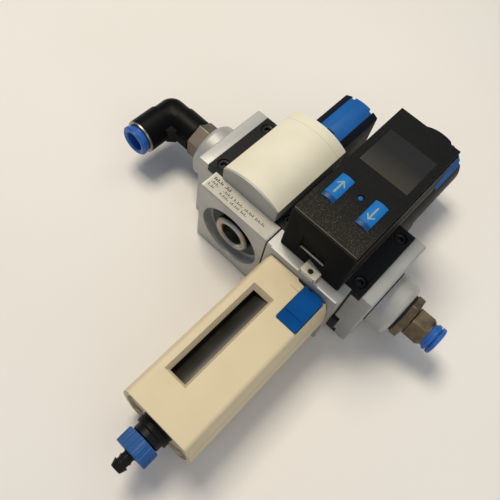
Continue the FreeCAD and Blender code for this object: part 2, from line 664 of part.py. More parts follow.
def spring_tube():
    """Closed tube round the regulating spring, with the spindle's bore in its end."""
    tube = rod_y(BONNET_TOP - TUBE_SEAT, SPRING_TUBE_TOP, SPRING_TUBE_R, REG_X)
    tube_floor = SPRING_TUBE_TOP - SPRING_TUBE_WALL
    hollow = rod_y(BODY_HIGH, tube_floor, SPRING_TUBE_IN, REG_X)
    bore = rod_y(tube_floor - 1, SPRING_TUBE_TOP + 1, SPINDLE_R + RUN, REG_X)
    return cut(tube, hollow, bore)


def regulator_knob():
    """Black setting knob of the regulator, open towards the bonnet."""
    knob = knob_blank(REG_X, REG_KNOB_R, REG_KNOB_START, REG_KNOB_END)
    inside = rod_y(REG_KNOB_START - 1, REG_KNOB_END - KNOB_END_T, SPRING_TUBE_R + GAP, REG_X)
    socket = rod_y(REG_KNOB_END - KNOB_END_T - 1, REG_KNOB_END - KNOB_END_T / 2, SPINDLE_R + SEAT, REG_X)
    slot = lock_slot(REG_X, REG_KNOB_R, REG_LOCK_Y[0] - RUN, REG_KNOB_END + 1, RUN)
    return cut(knob, inside, socket, reg_lock_place(slot, RUN))


def reg_lock_place(shape, grow):
    """Thins a slide or slot to the regulator's slide and turns it to its place on the knob."""
    low = AXIS_Z + REG_KNOB_R - REG_LOCK_T - grow
    shape = shape.common(box(0, MODULE_W, SPRING_TUBE_TOP - MODULE_W, REG_KNOB_END + 2, low, 2 * DEPTH))
    shape.rotate(V(REG_X, 0, AXIS_Z), V(0, 1, 0), REG_LOCK_ANGLE)
    return shape


def regulator_lock_slide():
    """Blue locking slide in the side of the regulator's knob."""
    return reg_lock_place(lock_slide(REG_X, REG_KNOB_R, *REG_LOCK_Y), 0)


def adjusting_spindle():
    """Threaded spindle fixed in the knob, with a thrust collar under the bonnet's top."""
    top = REG_KNOB_END - KNOB_END_T / 2
    under = SPRING_TUBE_TOP - SPRING_TUBE_WALL - GAP
    rod = rod_y(SPRING_SEAT_Y - SPINDLE_BELOW, top, SPINDLE_R, REG_X)
    return fuse(rod, rod_y(under - 2, under, SPINDLE_R + SPINDLE_COLLAR, REG_X))


def spring_seat():
    """Nut on the spindle that presses the regulating spring."""
    return ring_y(SPRING_SEAT_Y, SPRING_SEAT_Y + SPRING_SEAT_T, SPRING_TUBE_IN - GAP, SPINDLE_R + RUN,
                  REG_X)


def poppet():
    """Valve disc under the seat with a pin that touches the diaphragm."""
    disc = rod_y(POPPET_TOP - POPPET_T, POPPET_TOP, SEAT_R + POPPET_LIP, REG_X)
    return fuse(disc, rod_y(POPPET_TOP - 1, DIAPHRAGM_Y - GAP, POPPET_PIN_R, REG_X))


def filter_retainer():
    """Tube screwed into the casting that holds the filter element, with a disc at its foot."""
    low = FILTER_LOW - RETAINER_FOOT
    tube = rod_y(low, RETAINER_TOP, RETAINER_R, REG_X)
    hollow = rod_y(FILTER_LOW, RETAINER_TOP - RETAINER_ROOF, RETAINER_R - RETAINER_WALL, REG_X)
    hole = rod_y(RETAINER_TOP - 2 * RETAINER_ROOF, RETAINER_TOP + 1, RETAINER_HOLE_R, REG_X)
    shell = cut(fuse(tube, rod_y(low, FILTER_LOW, FILTER_R + RETAINER_WALL, REG_X)), hollow, hole)
    pitch = FILTER_LEN / (FILTER_HOLES + 1)
    for i in range(FILTER_HOLES):
        shell = cut(shell, rod_z(0, DEPTH, FILTER_HOLE_R, REG_X, FILTER_LOW + pitch * (i + 1)))
    return shell


def filter_element():
    """Sintered filter cartridge round the retainer."""
    return ring_y(FILTER_LOW, FILTER_TOP, FILTER_R, RETAINER_R + SEAT, REG_X)


def swirl_baffle():
    """Ring of slanted vanes that spins the air as it enters the bowl."""
    y1 = FILTER_TOP + BAFFLE_RISE
    ring = ring_y(y1, y1 + BAFFLE_T, FILTER_R, RETAINER_R + SEAT, REG_X)
    vanes = []
    for i in range(VANES):
        vane = box(REG_X + FILTER_R - VANE_ROOT, REG_X + BOWL_NECK_R - BOWL_WALL - GAP, y1, y1 + VANE_H,
                   AXIS_Z - VANE_T / 2, AXIS_Z + VANE_T / 2)
        vane.rotate(V(REG_X + FILTER_R, y1 + VANE_H / 2, AXIS_Z), V(1, 0, 0), VANE_SLANT)
        vane.rotate(V(REG_X, 0, AXIS_Z), V(0, 1, 0), 360 / VANES * i)
        vanes.append(vane)
    return fuse(ring, *vanes)


# ---- bowl, guard and drain --------------------------------------------------------------------
def bowl():
    """Clear bowl with a neck that reaches into the casting."""
    shell = fuse(rod_y(BOWL_END, GUARD_TOP - 1, BOWL_R, REG_X),
                 rod_y(GUARD_TOP - 2, BOWL_NECK_TOP, BOWL_NECK_R, REG_X))
    shell = round_edges(shell, BOWL_ROUND, lambda b: b.YMax < BOWL_END + 0.1)
    inside = fuse(rod_y(BOWL_END + BOWL_WALL, GUARD_TOP - NECK_BLEND, BOWL_R - BOWL_WALL, REG_X),
                  rod_y(GUARD_TOP - NECK_BLEND - 1, BOWL_NECK_TOP + 1, BOWL_NECK_R - BOWL_WALL, REG_X))
    drain_hole = rod_y(BOWL_END - 1, BOWL_END + BOWL_WALL + 1, SPIGOT_R + SEAT, REG_X)
    groove = ring_y(SEAL_Y, SEAL_Y + BOWL_SEAL_H, BOWL_NECK_R + 1, BOWL_NECK_R - SEAL_BED, REG_X)
    return cut(shell, inside, drain_hole, groove)


def bowl_seal():
    """Seal ring in the groove of the bowl's neck."""
    return ring_y(SEAL_Y + SEAT, SEAL_Y + BOWL_SEAL_H - SEAT, BOWL_NECK_R + GAP / 2,
                  BOWL_NECK_R - SEAL_BED + SEAT, REG_X)


def guard_section(y, shrink_side, shrink_front):
    """Outline of the guard at a height: flat front and back, bulging sides."""
    half_w, half_d, flat = GUARD_HALF_W - shrink_side, GUARD_HALF_D - shrink_front, GUARD_FLAT - shrink_side
    signs = ((-1, 1), (1, 1), (1, -1), (-1, -1))
    corners = [V(REG_X + sx * flat, y, AXIS_Z + sz * half_d) for sx, sz in signs]
    right = Part.Arc(corners[1], V(REG_X + half_w, y, AXIS_Z), corners[2]).toShape()
    left = Part.Arc(corners[3], V(REG_X - half_w, y, AXIS_Z), corners[0]).toShape()
    front = Part.LineSegment(corners[0], corners[1]).toShape()
    back = Part.LineSegment(corners[2], corners[3]).toShape()
    return Part.Face(Part.Wire([front, right, back, left]))


def bowl_guard():
    """Cream guard round the bowl with a bevelled sight window and a bayonet neck."""
    outer = guard_section(GUARD_END, 0, 0).extrude(V(0, GUARD_LEN, 0))
    outer = round_edges(outer, GUARD_ROUND, lambda b: b.YLength > GUARD_LEN - 0.1)
    inner = guard_section(GUARD_END + RIM_DEPTH + GUARD_WALL, GUARD_WALL, GUARD_FRONT_WALL)
    inner = inner.extrude(V(0, GUARD_LEN - RIM_DEPTH - 2 * GUARD_WALL, 0))
    rim = guard_section(GUARD_END - 1, GUARD_WALL, GUARD_WALL).extrude(V(0, RIM_DEPTH + 1, 0))
    neck_in = GUARD_NECK_R - GUARD_NECK_WALL
    top_hole = rod_y(GUARD_TOP - 2 * GUARD_WALL, GUARD_TOP + 1, neck_in, REG_X)
    drain_hole = rod_y(GUARD_END - 1, BOWL_END, DRAIN_NECK_R + GAP, REG_X)
    neck = ring_y(GUARD_TOP - 1, GUARD_NECK_TOP, GUARD_NECK_R, neck_in, REG_X)
    shell = fuse(cut(outer, inner, rim, top_hole, drain_hole, sight_cut()), neck, *guard_lugs())
    x0 = REG_X + RELEASE_X
    y0 = GUARD_TOP - RELEASE_DROP - RELEASE_LEN
    pocket = box(x0 - GAP, x0 + RELEASE_W + GAP, y0 + 2 * GAP, GUARD_TOP + 0.1,
                 GUARD_FRONT + RELEASE_PROUD - RELEASE_T - GAP, GUARD_FRONT + 1)
    return cut(shell, pocket)


def guard_lugs():
    """Two bayonet lugs on the guard's neck."""
    lugs = []
    for start in (0, 180):
        ring = ring_y(GUARD_NECK_TOP - LUG_H, GUARD_NECK_TOP, GUARD_NECK_R + LUG_REACH,
                      GUARD_NECK_R - GUARD_NECK_WALL / 2, REG_X)
        lugs.append(ring.common(wedge(start, LUG_ANGLE)))
    return lugs


def sight_cut():
    """Bevelled opening of the sight window."""
    x0, x1 = REG_X + SIGHT_X, REG_X + SIGHT_X + SIGHT_W
    y0, y1 = GUARD_TOP - SIGHT_DROP - SIGHT_LEN, GUARD_TOP - SIGHT_DROP
    wires = []
    for inset, z in ((0, GUARD_FRONT), (SIGHT_BEVEL, GUARD_FRONT - GUARD_FRONT_WALL - 0.5)):
        corners = [V(x0 + inset, y0 + inset, z), V(x1 - inset, y0 + inset, z),
                   V(x1 - inset, y1 - inset, z), V(x0 + inset, y1 - inset, z)]
        wires.append(Part.makePolygon(corners + corners[:1]))
    return Part.makeLoft(wires[::-1], True, True)


def bowl_release_slide():
    """Blue slide that unlocks the bowl: a block in its pocket with a lip over the pocket's lower end."""
    x0, x1 = REG_X + RELEASE_X, REG_X + RELEASE_X + RELEASE_W
    y1 = GUARD_TOP - RELEASE_DROP
    y0 = y1 - RELEASE_LEN
    top = GUARD_FRONT + RELEASE_PROUD
    foot = y0 + RELEASE_TRAVEL + 3 * GAP
    slide = box(x0, x1, y0, y1, GUARD_FRONT + RELEASE_LIP_GAP, top)
    slide = fuse(slide, box(x0, x1, foot, y1, top - RELEASE_T, top))
    slide = round_edges(slide, RELEASE_LIP_GAP * 3, lambda b: b.ZMin > top - 0.1)
    width, depth = NAIL_GROOVE
    return cut(slide, box(x0 - 1, x1 + 1, foot + GAP, foot + GAP + width, top - depth, top + 1))


def drain_body():
    """Black drain fitting through the bowl's bottom."""
    top = BOWL_END - SEAT
    step = BOWL_END - DRAIN_NECK_LEN
    neck = fuse(rod_y(step, top, DRAIN_NECK_R, REG_X),
                rod_y(DRAIN_NUT_TOP + GAP, step + 1, DRAIN_WAIST_R, REG_X),
                rod_y(DRAIN_NUT_LOW + DRAIN_NUT_FLOOR, step, DRAIN_SPIGOT_R, REG_X),
                rod_y(top - 1, BOWL_END + SPIGOT_H, SPIGOT_R, REG_X))
    return cut(neck, rod_y(DRAIN_END, 0, DRAIN_STEM_R + RUN, REG_X))


def drain_nut():
    """Blue ribbed nut that opens the drain."""
    nut = rod_y(DRAIN_NUT_LOW, DRAIN_NUT_TOP, DRAIN_NUT_R, REG_X)
    for i in range(NUT_RIBS):
        groove = rod_y(DRAIN_NUT_LOW - 1, DRAIN_NUT_TOP + 1, 0.5, REG_X + DRAIN_NUT_R + 0.25)
        groove.rotate(V(REG_X, 0, AXIS_Z), V(0, 1, 0), 360 / NUT_RIBS * (i + 0.5))
        nut = cut(nut, groove)
    spigot_room = rod_y(DRAIN_NUT_LOW + DRAIN_NUT_FLOOR - GAP, DRAIN_NUT_TOP + 1, DRAIN_SPIGOT_R + RUN,
                        REG_X)
    return cut(nut, spigot_room, rod_y(DRAIN_NUT_LOW - 1, DRAIN_NUT_TOP, DRAIN_STEM_R + RUN, REG_X))


def drain_stem():
    """Hollow drain stem with a hose barb."""
    top = BOWL_END + SPIGOT_H - 2
    thin = rod_y(DRAIN_END, top, BARB_LOW_R, REG_X)
    upper = rod_y(DRAIN_NUT_LOW - GAP, top, DRAIN_STEM_R, REG_X)
    barb = Part.makeCone(BARB_LOW_R, BARB_HIGH_R, BARB_LEN, V(REG_X, DRAIN_END, AXIS_Z), V(0, 1, 0))
    return cut(fuse(thin, upper, barb), rod_y(DRAIN_END - 1, top + 1, DRAIN_BORE_R, REG_X))


# ---- fittings -------------------------------------------------------------------------------
def inlet_stud():
    """Hexagon stud screwed into the inlet plate, on which the elbow swivels."""
    stud = fuse(hex_x(-STUD_HEX_IN - STUD_HEX_T, -STUD_HEX_IN, INLET_HEX_AF, 0),
                rod_x(-STUD_HEX_IN - 1, -PLATE_OUT, INLET_THREAD_R),
                rod_x(-STUD_END, -STUD_HEX_IN - 1, SWIVEL_R))
    return cut(stud, rod_x(-STUD_END - 1, 0, STUD_BORE_R))


def inlet_elbow_body():
    """Black push-in elbow whose mouth points along -Y."""
    corner = V(-ELBOW_X, 0, AXIS_Z)
    body = fuse(rod_x(-ELBOW_X, -ELBOW_START, ELBOW_R), Part.makeSphere(ELBOW_R, corner),
                rod_y(-MOUTH_END, 0, ELBOW_R, -ELBOW_X),
                rod_x(-ELBOW_START - ELBOW_COLLAR, -ELBOW_START, ELBOW_COLLAR_R),
                rod_y(-MOUTH_END, -MOUTH_END + MOUTH_COLLAR, ELBOW_COLLAR_R, -ELBOW_X))
    swivel = rod_x(-STUD_END - GAP, -ELBOW_START + 1, SWIVEL_R + RUN)
    pocket_end = -MOUTH_END + CARTRIDGE_DEPTH
    mouth = rod_y(-MOUTH_END - 1, pocket_end, cartridge_r(INLET_TUBE_R), -ELBOW_X)
    stop = rod_y(-MOUTH_END, pocket_end + 5, INLET_TUBE_R + 2 * RUN, -ELBOW_X)
    bore = fuse(rod_y(-MOUTH_END, 0, ELBOW_BORE_R, -ELBOW_X), Part.makeSphere(ELBOW_BORE_R, corner),
                rod_x(-ELBOW_X, -STUD_END, ELBOW_BORE_R))
    return cut(body, swivel, mouth, stop, bore)


def cartridge_r(tube_r):
    """Radius of the bore that holds a push-in cartridge."""
    return tube_r + CARTRIDGE_WALL


def along_mouth(shape):
    """Turns a piece made for the outlet's +X mouth, at its own zero, to the elbow's -Y mouth."""
    shape.translate(V(0, 0, -AXIS_Z))
    shape.rotate(V(0, 0, 0), V(0, 0, 1), -90)
    shape.translate(V(-ELBOW_X, -MOUTH_END, AXIS_Z))
    return shape


def along_outlet(shape):
    """Moves a piece made for the outlet's mouth, at its own zero, to its place."""
    shape.translate(V(OUTLET_END, 0, 0))
    return shape


def tube_seal(tube_r):
    """Lip seal deep in a push-in mouth; zero is the mouth's end face."""
    return ring_x(-CARTRIDGE_DEPTH, -CARTRIDGE_DEPTH + LIP_T, cartridge_r(tube_r) - SEAT,
                  tube_r + 2 * RUN)


def gripping_ring(tube_r):
    """Toothed steel ring that holds the tube."""
    ring = ring_x(-GRIP_DEPTH - GRIP_T, -GRIP_DEPTH, cartridge_r(tube_r) - SEAT, tube_r + 2 * RUN)
    for i in range(8):
        notch = box(-GRIP_DEPTH - GRIP_T - 1, -GRIP_DEPTH + 1, -0.4, 0.4, AXIS_Z + tube_r,
                    AXIS_Z + tube_r + CARTRIDGE_WALL / 2)
        notch.rotate(V(0, 0, AXIS_Z), V(1, 0, 0), 45 * i)
        ring = cut(ring, notch)
    return ring


def clamp_ring(tube_r, outer_r):
    """Metal ring pressed on the end of the elbow's mouth."""
    return ring_x(0, CLAMP_T, outer_r - 0.15, cartridge_r(tube_r))


def release_ring(tube_r, rim, start):
    """Blue release ring: a sleeve round the tube with a flange outside the mouth."""
    rim_r, rim_t = rim
    x0 = start + RELEASE_PLAY + GAP
    flange = rod_x(x0, x0 + rim_t, rim_r)
    flange = round_edges(flange, 0.7, lambda b: b.XMin > x0 + rim_t - 0.1)
    sleeve = rod_x(-RELEASE_SLEEVE, x0 + rim_t / 2, cartridge_r(tube_r) - RUN - SEAT)
    return cut(fuse(flange, sleeve), rod_x(-CARTRIDGE_DEPTH, x0 + rim_t + 1, tube_r + 2 * RUN))


def outlet_reducer():
    """Hexagon reducing nipple in the outlet plate."""
    x0, x1 = REDUCER_HEX
    body = fuse(hex_x(x0, x1, REDUCER_HEX_AF, 0), rod_x(PLATE_OUT, x0 + 1, REDUCER_THREAD_R))
    return cut(body, rod_x(0, x1 + 1, INLET_THREAD_R + SEAT))


def outlet_fitting_body():
    """Straight push-in fitting with a hexagon body."""
    x0, x1 = OUTLET_HEX
    body = fuse(hex_x(x0, x1, OUTLET_HEX_AF, 30),
                rod_x(x1 - 1, OUTLET_END, OUTLET_HEX_AF / 2 - GAP),
                rod_x(PLATE_OUT + 2, x0 + 1, INLET_THREAD_R))
    pocket = OUTLET_END - CARTRIDGE_DEPTH
    socket = rod_x(pocket, OUTLET_END + 1, cartridge_r(OUTLET_TUBE_R))
    stop = rod_x(pocket - 4, OUTLET_END, OUTLET_TUBE_R + 2 * RUN)
    return cut(body, socket, stop, rod_x(0, x1, OUTLET_BORE_R))


def thread_seal(side, thread_r, across_flats):
    """Seal washer under a hexagon, as wide as its flats."""
    x0, x1 = sorted((side * DOME_END, side * (DOME_END + SEAL_T)))
    return ring_x(x0, x1, across_flats / 2 + SEAL_WALL / 2, thread_r + SEAT)


# ---- pressure sensor ------------------------------------------------------------------------
def sensor_mounting_plate():
    """Cream plate under the sensor with a screw tab at its lower end."""
    x0, x1 = SENSOR_X
    y0 = SENSOR_Y[0]
    in_wall = SENSOR_WALL + 4 * GAP
    plate = box(x0 + in_wall, x1 - in_wall, y0 + in_wall, BODY_HIGH, DEPTH, DEPTH + SENSOR_PLATE_T)
    tab = box(REG_X + TAB_X[0], REG_X + TAB_X[1], -BODY_LOW, y0 + in_wall + 1, DEPTH,
              DEPTH + SENSOR_PLATE_T - 2 * GAP)
    tab = round_edges(tab, SENSOR_ROUND, lambda b: b.ZLength > 1 and b.YMax < -BODY_LOW + 0.1)
    return cut(fuse(plate, tab), rod_z(DEPTH - 1, CASE_FLOOR, TAB_HOLE_R, *TAB_HOLE))


def sensor_case():
    """Black housing of the sensor: floor, walls and a recess under it for the plate."""
    x0, x1 = SENSOR_X
    y0, y1 = SENSOR_Y
    w = SENSOR_WALL
    case = box(x0, x1, y0, y1, DEPTH + SENSOR_SKIRT, CASE_TOP)
    case = round_edges(case, SENSOR_ROUND, lambda b: b.ZLength > 5)
    under = box(x0 + w, x1 - w, y0 + w, y1 - w, DEPTH, CASE_FLOOR)
    tab_way = box(REG_X + TAB_X[0] - GAP, REG_X + TAB_X[1] + GAP, y0 - 1, y0 + w + 1, DEPTH,
                  CASE_FLOOR - GAP)
    inside = box(x0 + w, x1 - w, y0 + w, y1 - w, CASE_FLOOR + w, CASE_TOP + 1)
    recess_z = DEPTH + SENSOR_SKIRT + RECESS_RISE
    recess = box(REG_X + RECESS_X[0], REG_X + RECESS_X[1], y0 - 1, y0 + RECESS_DEPTH, recess_z,
                 recess_z + RECESS_H)
    inset = w + POST_R + 1
    posts = [rod_z(CASE_FLOOR + w - 1, BOARD_Z, POST_R, x, y)
             for x in (x0 + inset, x1 - inset) for y in (y0 + inset, y1 - inset)]
    return fuse(cut(case, under, tab_way, inside, recess), *posts)


def button_x():
    """Left edges of the two arrow buttons."""
    return [REG_X + x for x in BUTTON_X]


def sensor_face():
    """Flat front plate of the sensor with openings for the window and the buttons."""
    x0, x1 = SENSOR_X
    y0, y1 = SENSOR_Y
    face = box(x0 + FACE_STEP, x1 - FACE_STEP, y0, y1, CASE_TOP, FACE_Z)
    play = GAP / 2
    holes = [box(SCREEN_X[0] - SEAT, SCREEN_X[1] + SEAT, SCREEN_Y[0] - SEAT, SCREEN_Y[1] + SEAT,
                 FACE_Z - SCREEN_T, FACE_Z + 1)]
    holes += [box(x - play, x + BUTTON_W + play, BUTTON_Y[0] - play, BUTTON_Y[1] + play, CASE_TOP - 1,
                  FACE_Z + 1) for x in button_x()]
    holes.append(rod_z(CASE_TOP - 1, FACE_Z + 1, EDIT_R + GAP, REG_X, EDIT_Y))
    return cut(face, *holes)


def display_window():
    """Dark window over the display."""
    return box(SCREEN_X[0], SCREEN_X[1], SCREEN_Y[0], SCREEN_Y[1], FACE_Z - SCREEN_T, FACE_Z - SCREEN_SINK)


def circuit_board():
    """Board with one push switch under each button."""
    x0, x1 = SENSOR_X
    y0, y1 = SENSOR_Y
    in_wall = SENSOR_WALL + 2 * GAP
    board = box(x0 + in_wall, x1 - in_wall, y0 + in_wall, y1 - in_wall, BOARD_Z, BOARD_Z + BOARD_T)
    mids = [(x + BUTTON_W / 2, sum(BUTTON_Y) / 2) for x in button_x()] + [(REG_X, EDIT_Y)]
    switches = [rod_z(BOARD_Z + BOARD_T - GAP, SWITCH_Z, 1.5, x, y) for x, y in mids]
    return fuse(board, *switches)


def face_button(x):
    """Blue push button with a rounded top and a flange under the face."""
    top = FACE_Z + BUTTON_PROUD
    cap_low = CASE_TOP - 5 * GAP
    cap = box(x, x + BUTTON_W, BUTTON_Y[0], BUTTON_Y[1], cap_low, top)
    cap = round_edges(cap, 0.6, lambda b: b.ZMin > top - 0.1)
    f = BUTTON_FLANGE
    flange = box(x - f, x + BUTTON_W + f, BUTTON_Y[0] - f, BUTTON_Y[1] + f, cap_low, CASE_TOP - GAP)
    stem = rod_z(SWITCH_Z + BUTTON_TRAVEL + GAP, CASE_TOP - 1, EDIT_R, x + BUTTON_W / 2,
                 sum(BUTTON_Y) / 2)
    return fuse(cap, flange, stem)


def edit_button():
    """Small round push button between the two arrows."""
    stem = rod_z(SWITCH_Z + BUTTON_TRAVEL + GAP, FACE_Z - GAP, EDIT_R, REG_X, EDIT_Y)
    return fuse(stem, rod_z(CASE_TOP - 5 * GAP, CASE_TOP - GAP, EDIT_R + EDIT_FLANGE, REG_X, EDIT_Y))


def main():
    """Builds and writes every piece."""
    for name, side, bore_r in (("inlet", -1, INLET_THREAD_R), ("outlet", 1, REDUCER_THREAD_R)):
        save(name + "_connector_frame", connector_frame(side))
        save(name + "_connector_screws", connector_screws(side))
        save(name + "_port_plate", port_plate(side, bore_r + SEAT))
    save("module_connector_frame", module_connector_frame())
    save("module_connector_screws", connector_screws(0))
    save("channel_seals", channel_seals())

    save("valve_body", valve_body())
    save("valve_cover", valve_cover())
    save("valve_rating_plate", rating_plate())
    save("exhaust_thread_ring", exhaust_ring())
    save("valve_knob", valve_knob())
    save("valve_lock_slide", lock_slide(VALVE_X, VALVE_KNOB_R, VALVE_KNOB_START, VALVE_KNOB_END))
    save("valve_stem", valve_stem())
    save("valve_spool", valve_spool())

    save("regulator_body", regulator_body())
    save("diaphragm", diaphragm())
    save("diaphragm_plate", diaphragm_plate())
    save("regulator_bonnet", regulator_bonnet())
    save("spring_tube", spring_tube())
    save("regulator_knob", regulator_knob())
    save("regulator_lock_slide", regulator_lock_slide())
    save("adjusting_spindle", adjusting_spindle())
    save("spring_seat", spring_seat())
    disc_top = DIAPHRAGM_Y + DIAPHRAGM_T + DISC_T
    save("regulating_spring", spring(disc_top + RUN, SPRING_SEAT_Y - RUN, SPRING_R, SPRING_WIRE, REG_X))
    save("poppet", poppet())
    save("poppet_spring", slotted_spring(RETAINER_TOP + RUN, POPPET_TOP - POPPET_T - RUN))
    save("filter_retainer", filter_retainer())
    save("filter_element", filter_element())
    save("swirl_baffle", swirl_baffle())

    save("bowl", bowl())
    save("bowl_seal", bowl_seal())
    save("bowl_guard", bowl_guard())
    save("bowl_release_slide", bowl_release_slide())
    save("drain_body", drain_body())
    save("drain_nut", drain_nut())
    save("drain_stem", drain_stem())

    save("inlet_stud", inlet_stud())
    save("inlet_thread_seal", thread_seal(-1, INLET_THREAD_R, INLET_HEX_AF))
    save("inlet_elbow_body", inlet_elbow_body())
    save("inlet_clamp_ring", along_mouth(clamp_ring(INLET_TUBE_R, ELBOW_COLLAR_R)))
    save("inlet_tube_seal", along_mouth(tube_seal(INLET_TUBE_R)))
    save("inlet_gripping_ring", along_mouth(gripping_ring(INLET_TUBE_R)))
    save("inlet_release_ring", along_mouth(release_ring(INLET_TUBE_R, INLET_RIM, CLAMP_T)))
    save("outlet_thread_seal", thread_seal(1, REDUCER_THREAD_R, REDUCER_HEX_AF))
    save("outlet_reducer", outlet_reducer())
    save("outlet_fitting_body", outlet_fitting_body())
    save("outlet_tube_seal", along_outlet(tube_seal(OUTLET_TUBE_R)))
    save("outlet_gripping_ring", along_outlet(gripping_ring(OUTLET_TUBE_R)))
    save("outlet_release_ring", along_outlet(release_ring(OUTLET_TUBE_R, OUTLET_RIM, 0)))

    save("sensor_mounting_plate", sensor_mounting_plate())
    save("sensor_case", sensor_case())
    save("sensor_face", sensor_face())
    save("display_window", display_window())
    save("circuit_board", circuit_board())
    for name, x in zip(("up_button", "down_button"), button_x()):
        save(name, face_button(x))
    save("edit_button", edit_button())


main()
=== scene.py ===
"""Compressed-air service unit with its finishes: on-off valve, filter regulator, sensor and fittings.

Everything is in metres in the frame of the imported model: +X is the flow direction, +Y points from
the bowl to the knobs and +Z out of the front. The unit lies on its back on z = 0.
"""
from __future__ import annotations
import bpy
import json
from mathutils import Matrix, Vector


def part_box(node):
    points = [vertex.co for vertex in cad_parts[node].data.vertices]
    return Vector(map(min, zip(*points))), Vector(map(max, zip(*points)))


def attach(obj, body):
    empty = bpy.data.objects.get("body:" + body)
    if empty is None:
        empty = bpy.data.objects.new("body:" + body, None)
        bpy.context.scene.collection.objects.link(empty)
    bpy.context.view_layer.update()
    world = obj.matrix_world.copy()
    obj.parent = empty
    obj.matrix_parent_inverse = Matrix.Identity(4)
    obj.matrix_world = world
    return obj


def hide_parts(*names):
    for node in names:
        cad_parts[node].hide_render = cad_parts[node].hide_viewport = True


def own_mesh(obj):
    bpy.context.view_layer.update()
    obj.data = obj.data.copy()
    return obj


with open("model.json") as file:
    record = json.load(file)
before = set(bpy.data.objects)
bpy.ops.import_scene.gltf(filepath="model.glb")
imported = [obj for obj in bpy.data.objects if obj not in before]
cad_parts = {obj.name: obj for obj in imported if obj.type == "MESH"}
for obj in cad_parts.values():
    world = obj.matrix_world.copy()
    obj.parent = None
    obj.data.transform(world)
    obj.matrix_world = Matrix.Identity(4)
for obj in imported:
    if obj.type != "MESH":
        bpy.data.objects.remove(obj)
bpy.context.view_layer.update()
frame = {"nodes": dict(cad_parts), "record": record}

import json
import logging
import math
from dataclasses import dataclass, field
from enum import Enum
from typing import Callable, Iterable, Sequence

import bmesh
import bpy
from mathutils import Matrix, Vector

LOG = logging.getLogger("service_unit")
MM = 0.001
NODES = frame["nodes"]


# ---- small tools ------------------------------------------------------------------------------
class Axis(Enum):
    """The frame's axes that turned pieces are made round."""

    X = (1.0, 0.0, 0.0)
    Y = (0.0, 1.0, 0.0)
    Z = (0.0, 0.0, 1.0)

    def turn(self) -> Matrix:
        """Returns the rotation that takes +Z to this axis."""
        return Vector((0, 0, 1)).rotation_difference(Vector(self.value)).to_matrix().to_4x4()


def linear(hex_colour: str) -> tuple[float, float, float, float]:
    """Turns an sRGB hex colour to linear light.

    Args:
        hex_colour: six hex digits.

    Returns:
        Linear red, green and blue, and full opacity.
    """
    parts = [int(hex_colour[i:i + 2], 16) / 255 for i in (0, 2, 4)]
    lin = [c / 12.92 if c <= 0.04045 else ((c + 0.055) / 1.055) ** 2.4 for c in parts]
    return lin[0], lin[1], lin[2], 1.0


def add_node(tree: bpy.types.NodeTree, kind: str, inputs: dict | None = None,
             **settings: object) -> bpy.types.Node:
    """Adds one shader node with its settings, values and links.

    Args:
        tree: node tree that takes the node.
        kind: the node's type name.
        inputs: socket name or number to a value, or to an output socket that is linked to it.
        settings: fields of the node itself.

    Returns:
        The new node.
    """
    made = tree.nodes.new(kind)
    for key, value in settings.items():
        setattr(made, key, value)
    for key, value in (inputs or {}).items():
        socket = made.inputs[key]
        if isinstance(value, bpy.types.NodeSocket):
            tree.links.new(value, socket)
        else:
            socket.default_value = value
    return made


def blended(tree: bpy.types.NodeTree, share: bpy.types.NodeSocket, first: object,
            second: object) -> bpy.types.NodeSocket:
    """Mixes two colours.

    Args:
        tree: node tree of the material.
        share: how much of the second colour shows, 0 to 1.
        first: colour, or the output that gives it.
        second: the colour that is mixed in.

    Returns:
        The mixed colour.
    """
    return add_node(tree, "ShaderNodeMix", {0: share, 6: first, 7: second}, data_type="RGBA").outputs[2]


def corners(node: str) -> tuple[Vector, Vector]:
    """Returns a CAD node's lowest and highest corner, in metres."""
    low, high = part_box(node)
    return Vector(low), Vector(high)


def corners_mm(node: str) -> tuple[Vector, Vector]:
    """Returns a CAD node's lowest and highest corner, in mm."""
    low, high = corners(node)
    return low * 1000, high * 1000


def lower_end(node: str) -> Vector:
    """Returns the middle of the face at a CAD node's lower end along Y, in metres."""
    low, high = corners(node)
    return Vector(((low.x + high.x) / 2, low.y, (low.z + high.z) / 2))


# ---- finishes ---------------------------------------------------------------------------------
@dataclass(frozen=True)
class Fade:
    """A tone that takes over along one axis of the frame, where light or shade is painted on a surface.

    Attributes:
        axis: 0, 1 or 2 for X, Y or Z.
        start_mm: place where it begins.
        end_mm: place where it is full.
        colour: sRGB hex that is reached there.
    """

    axis: int
    start_mm: float
    end_mm: float
    colour: str


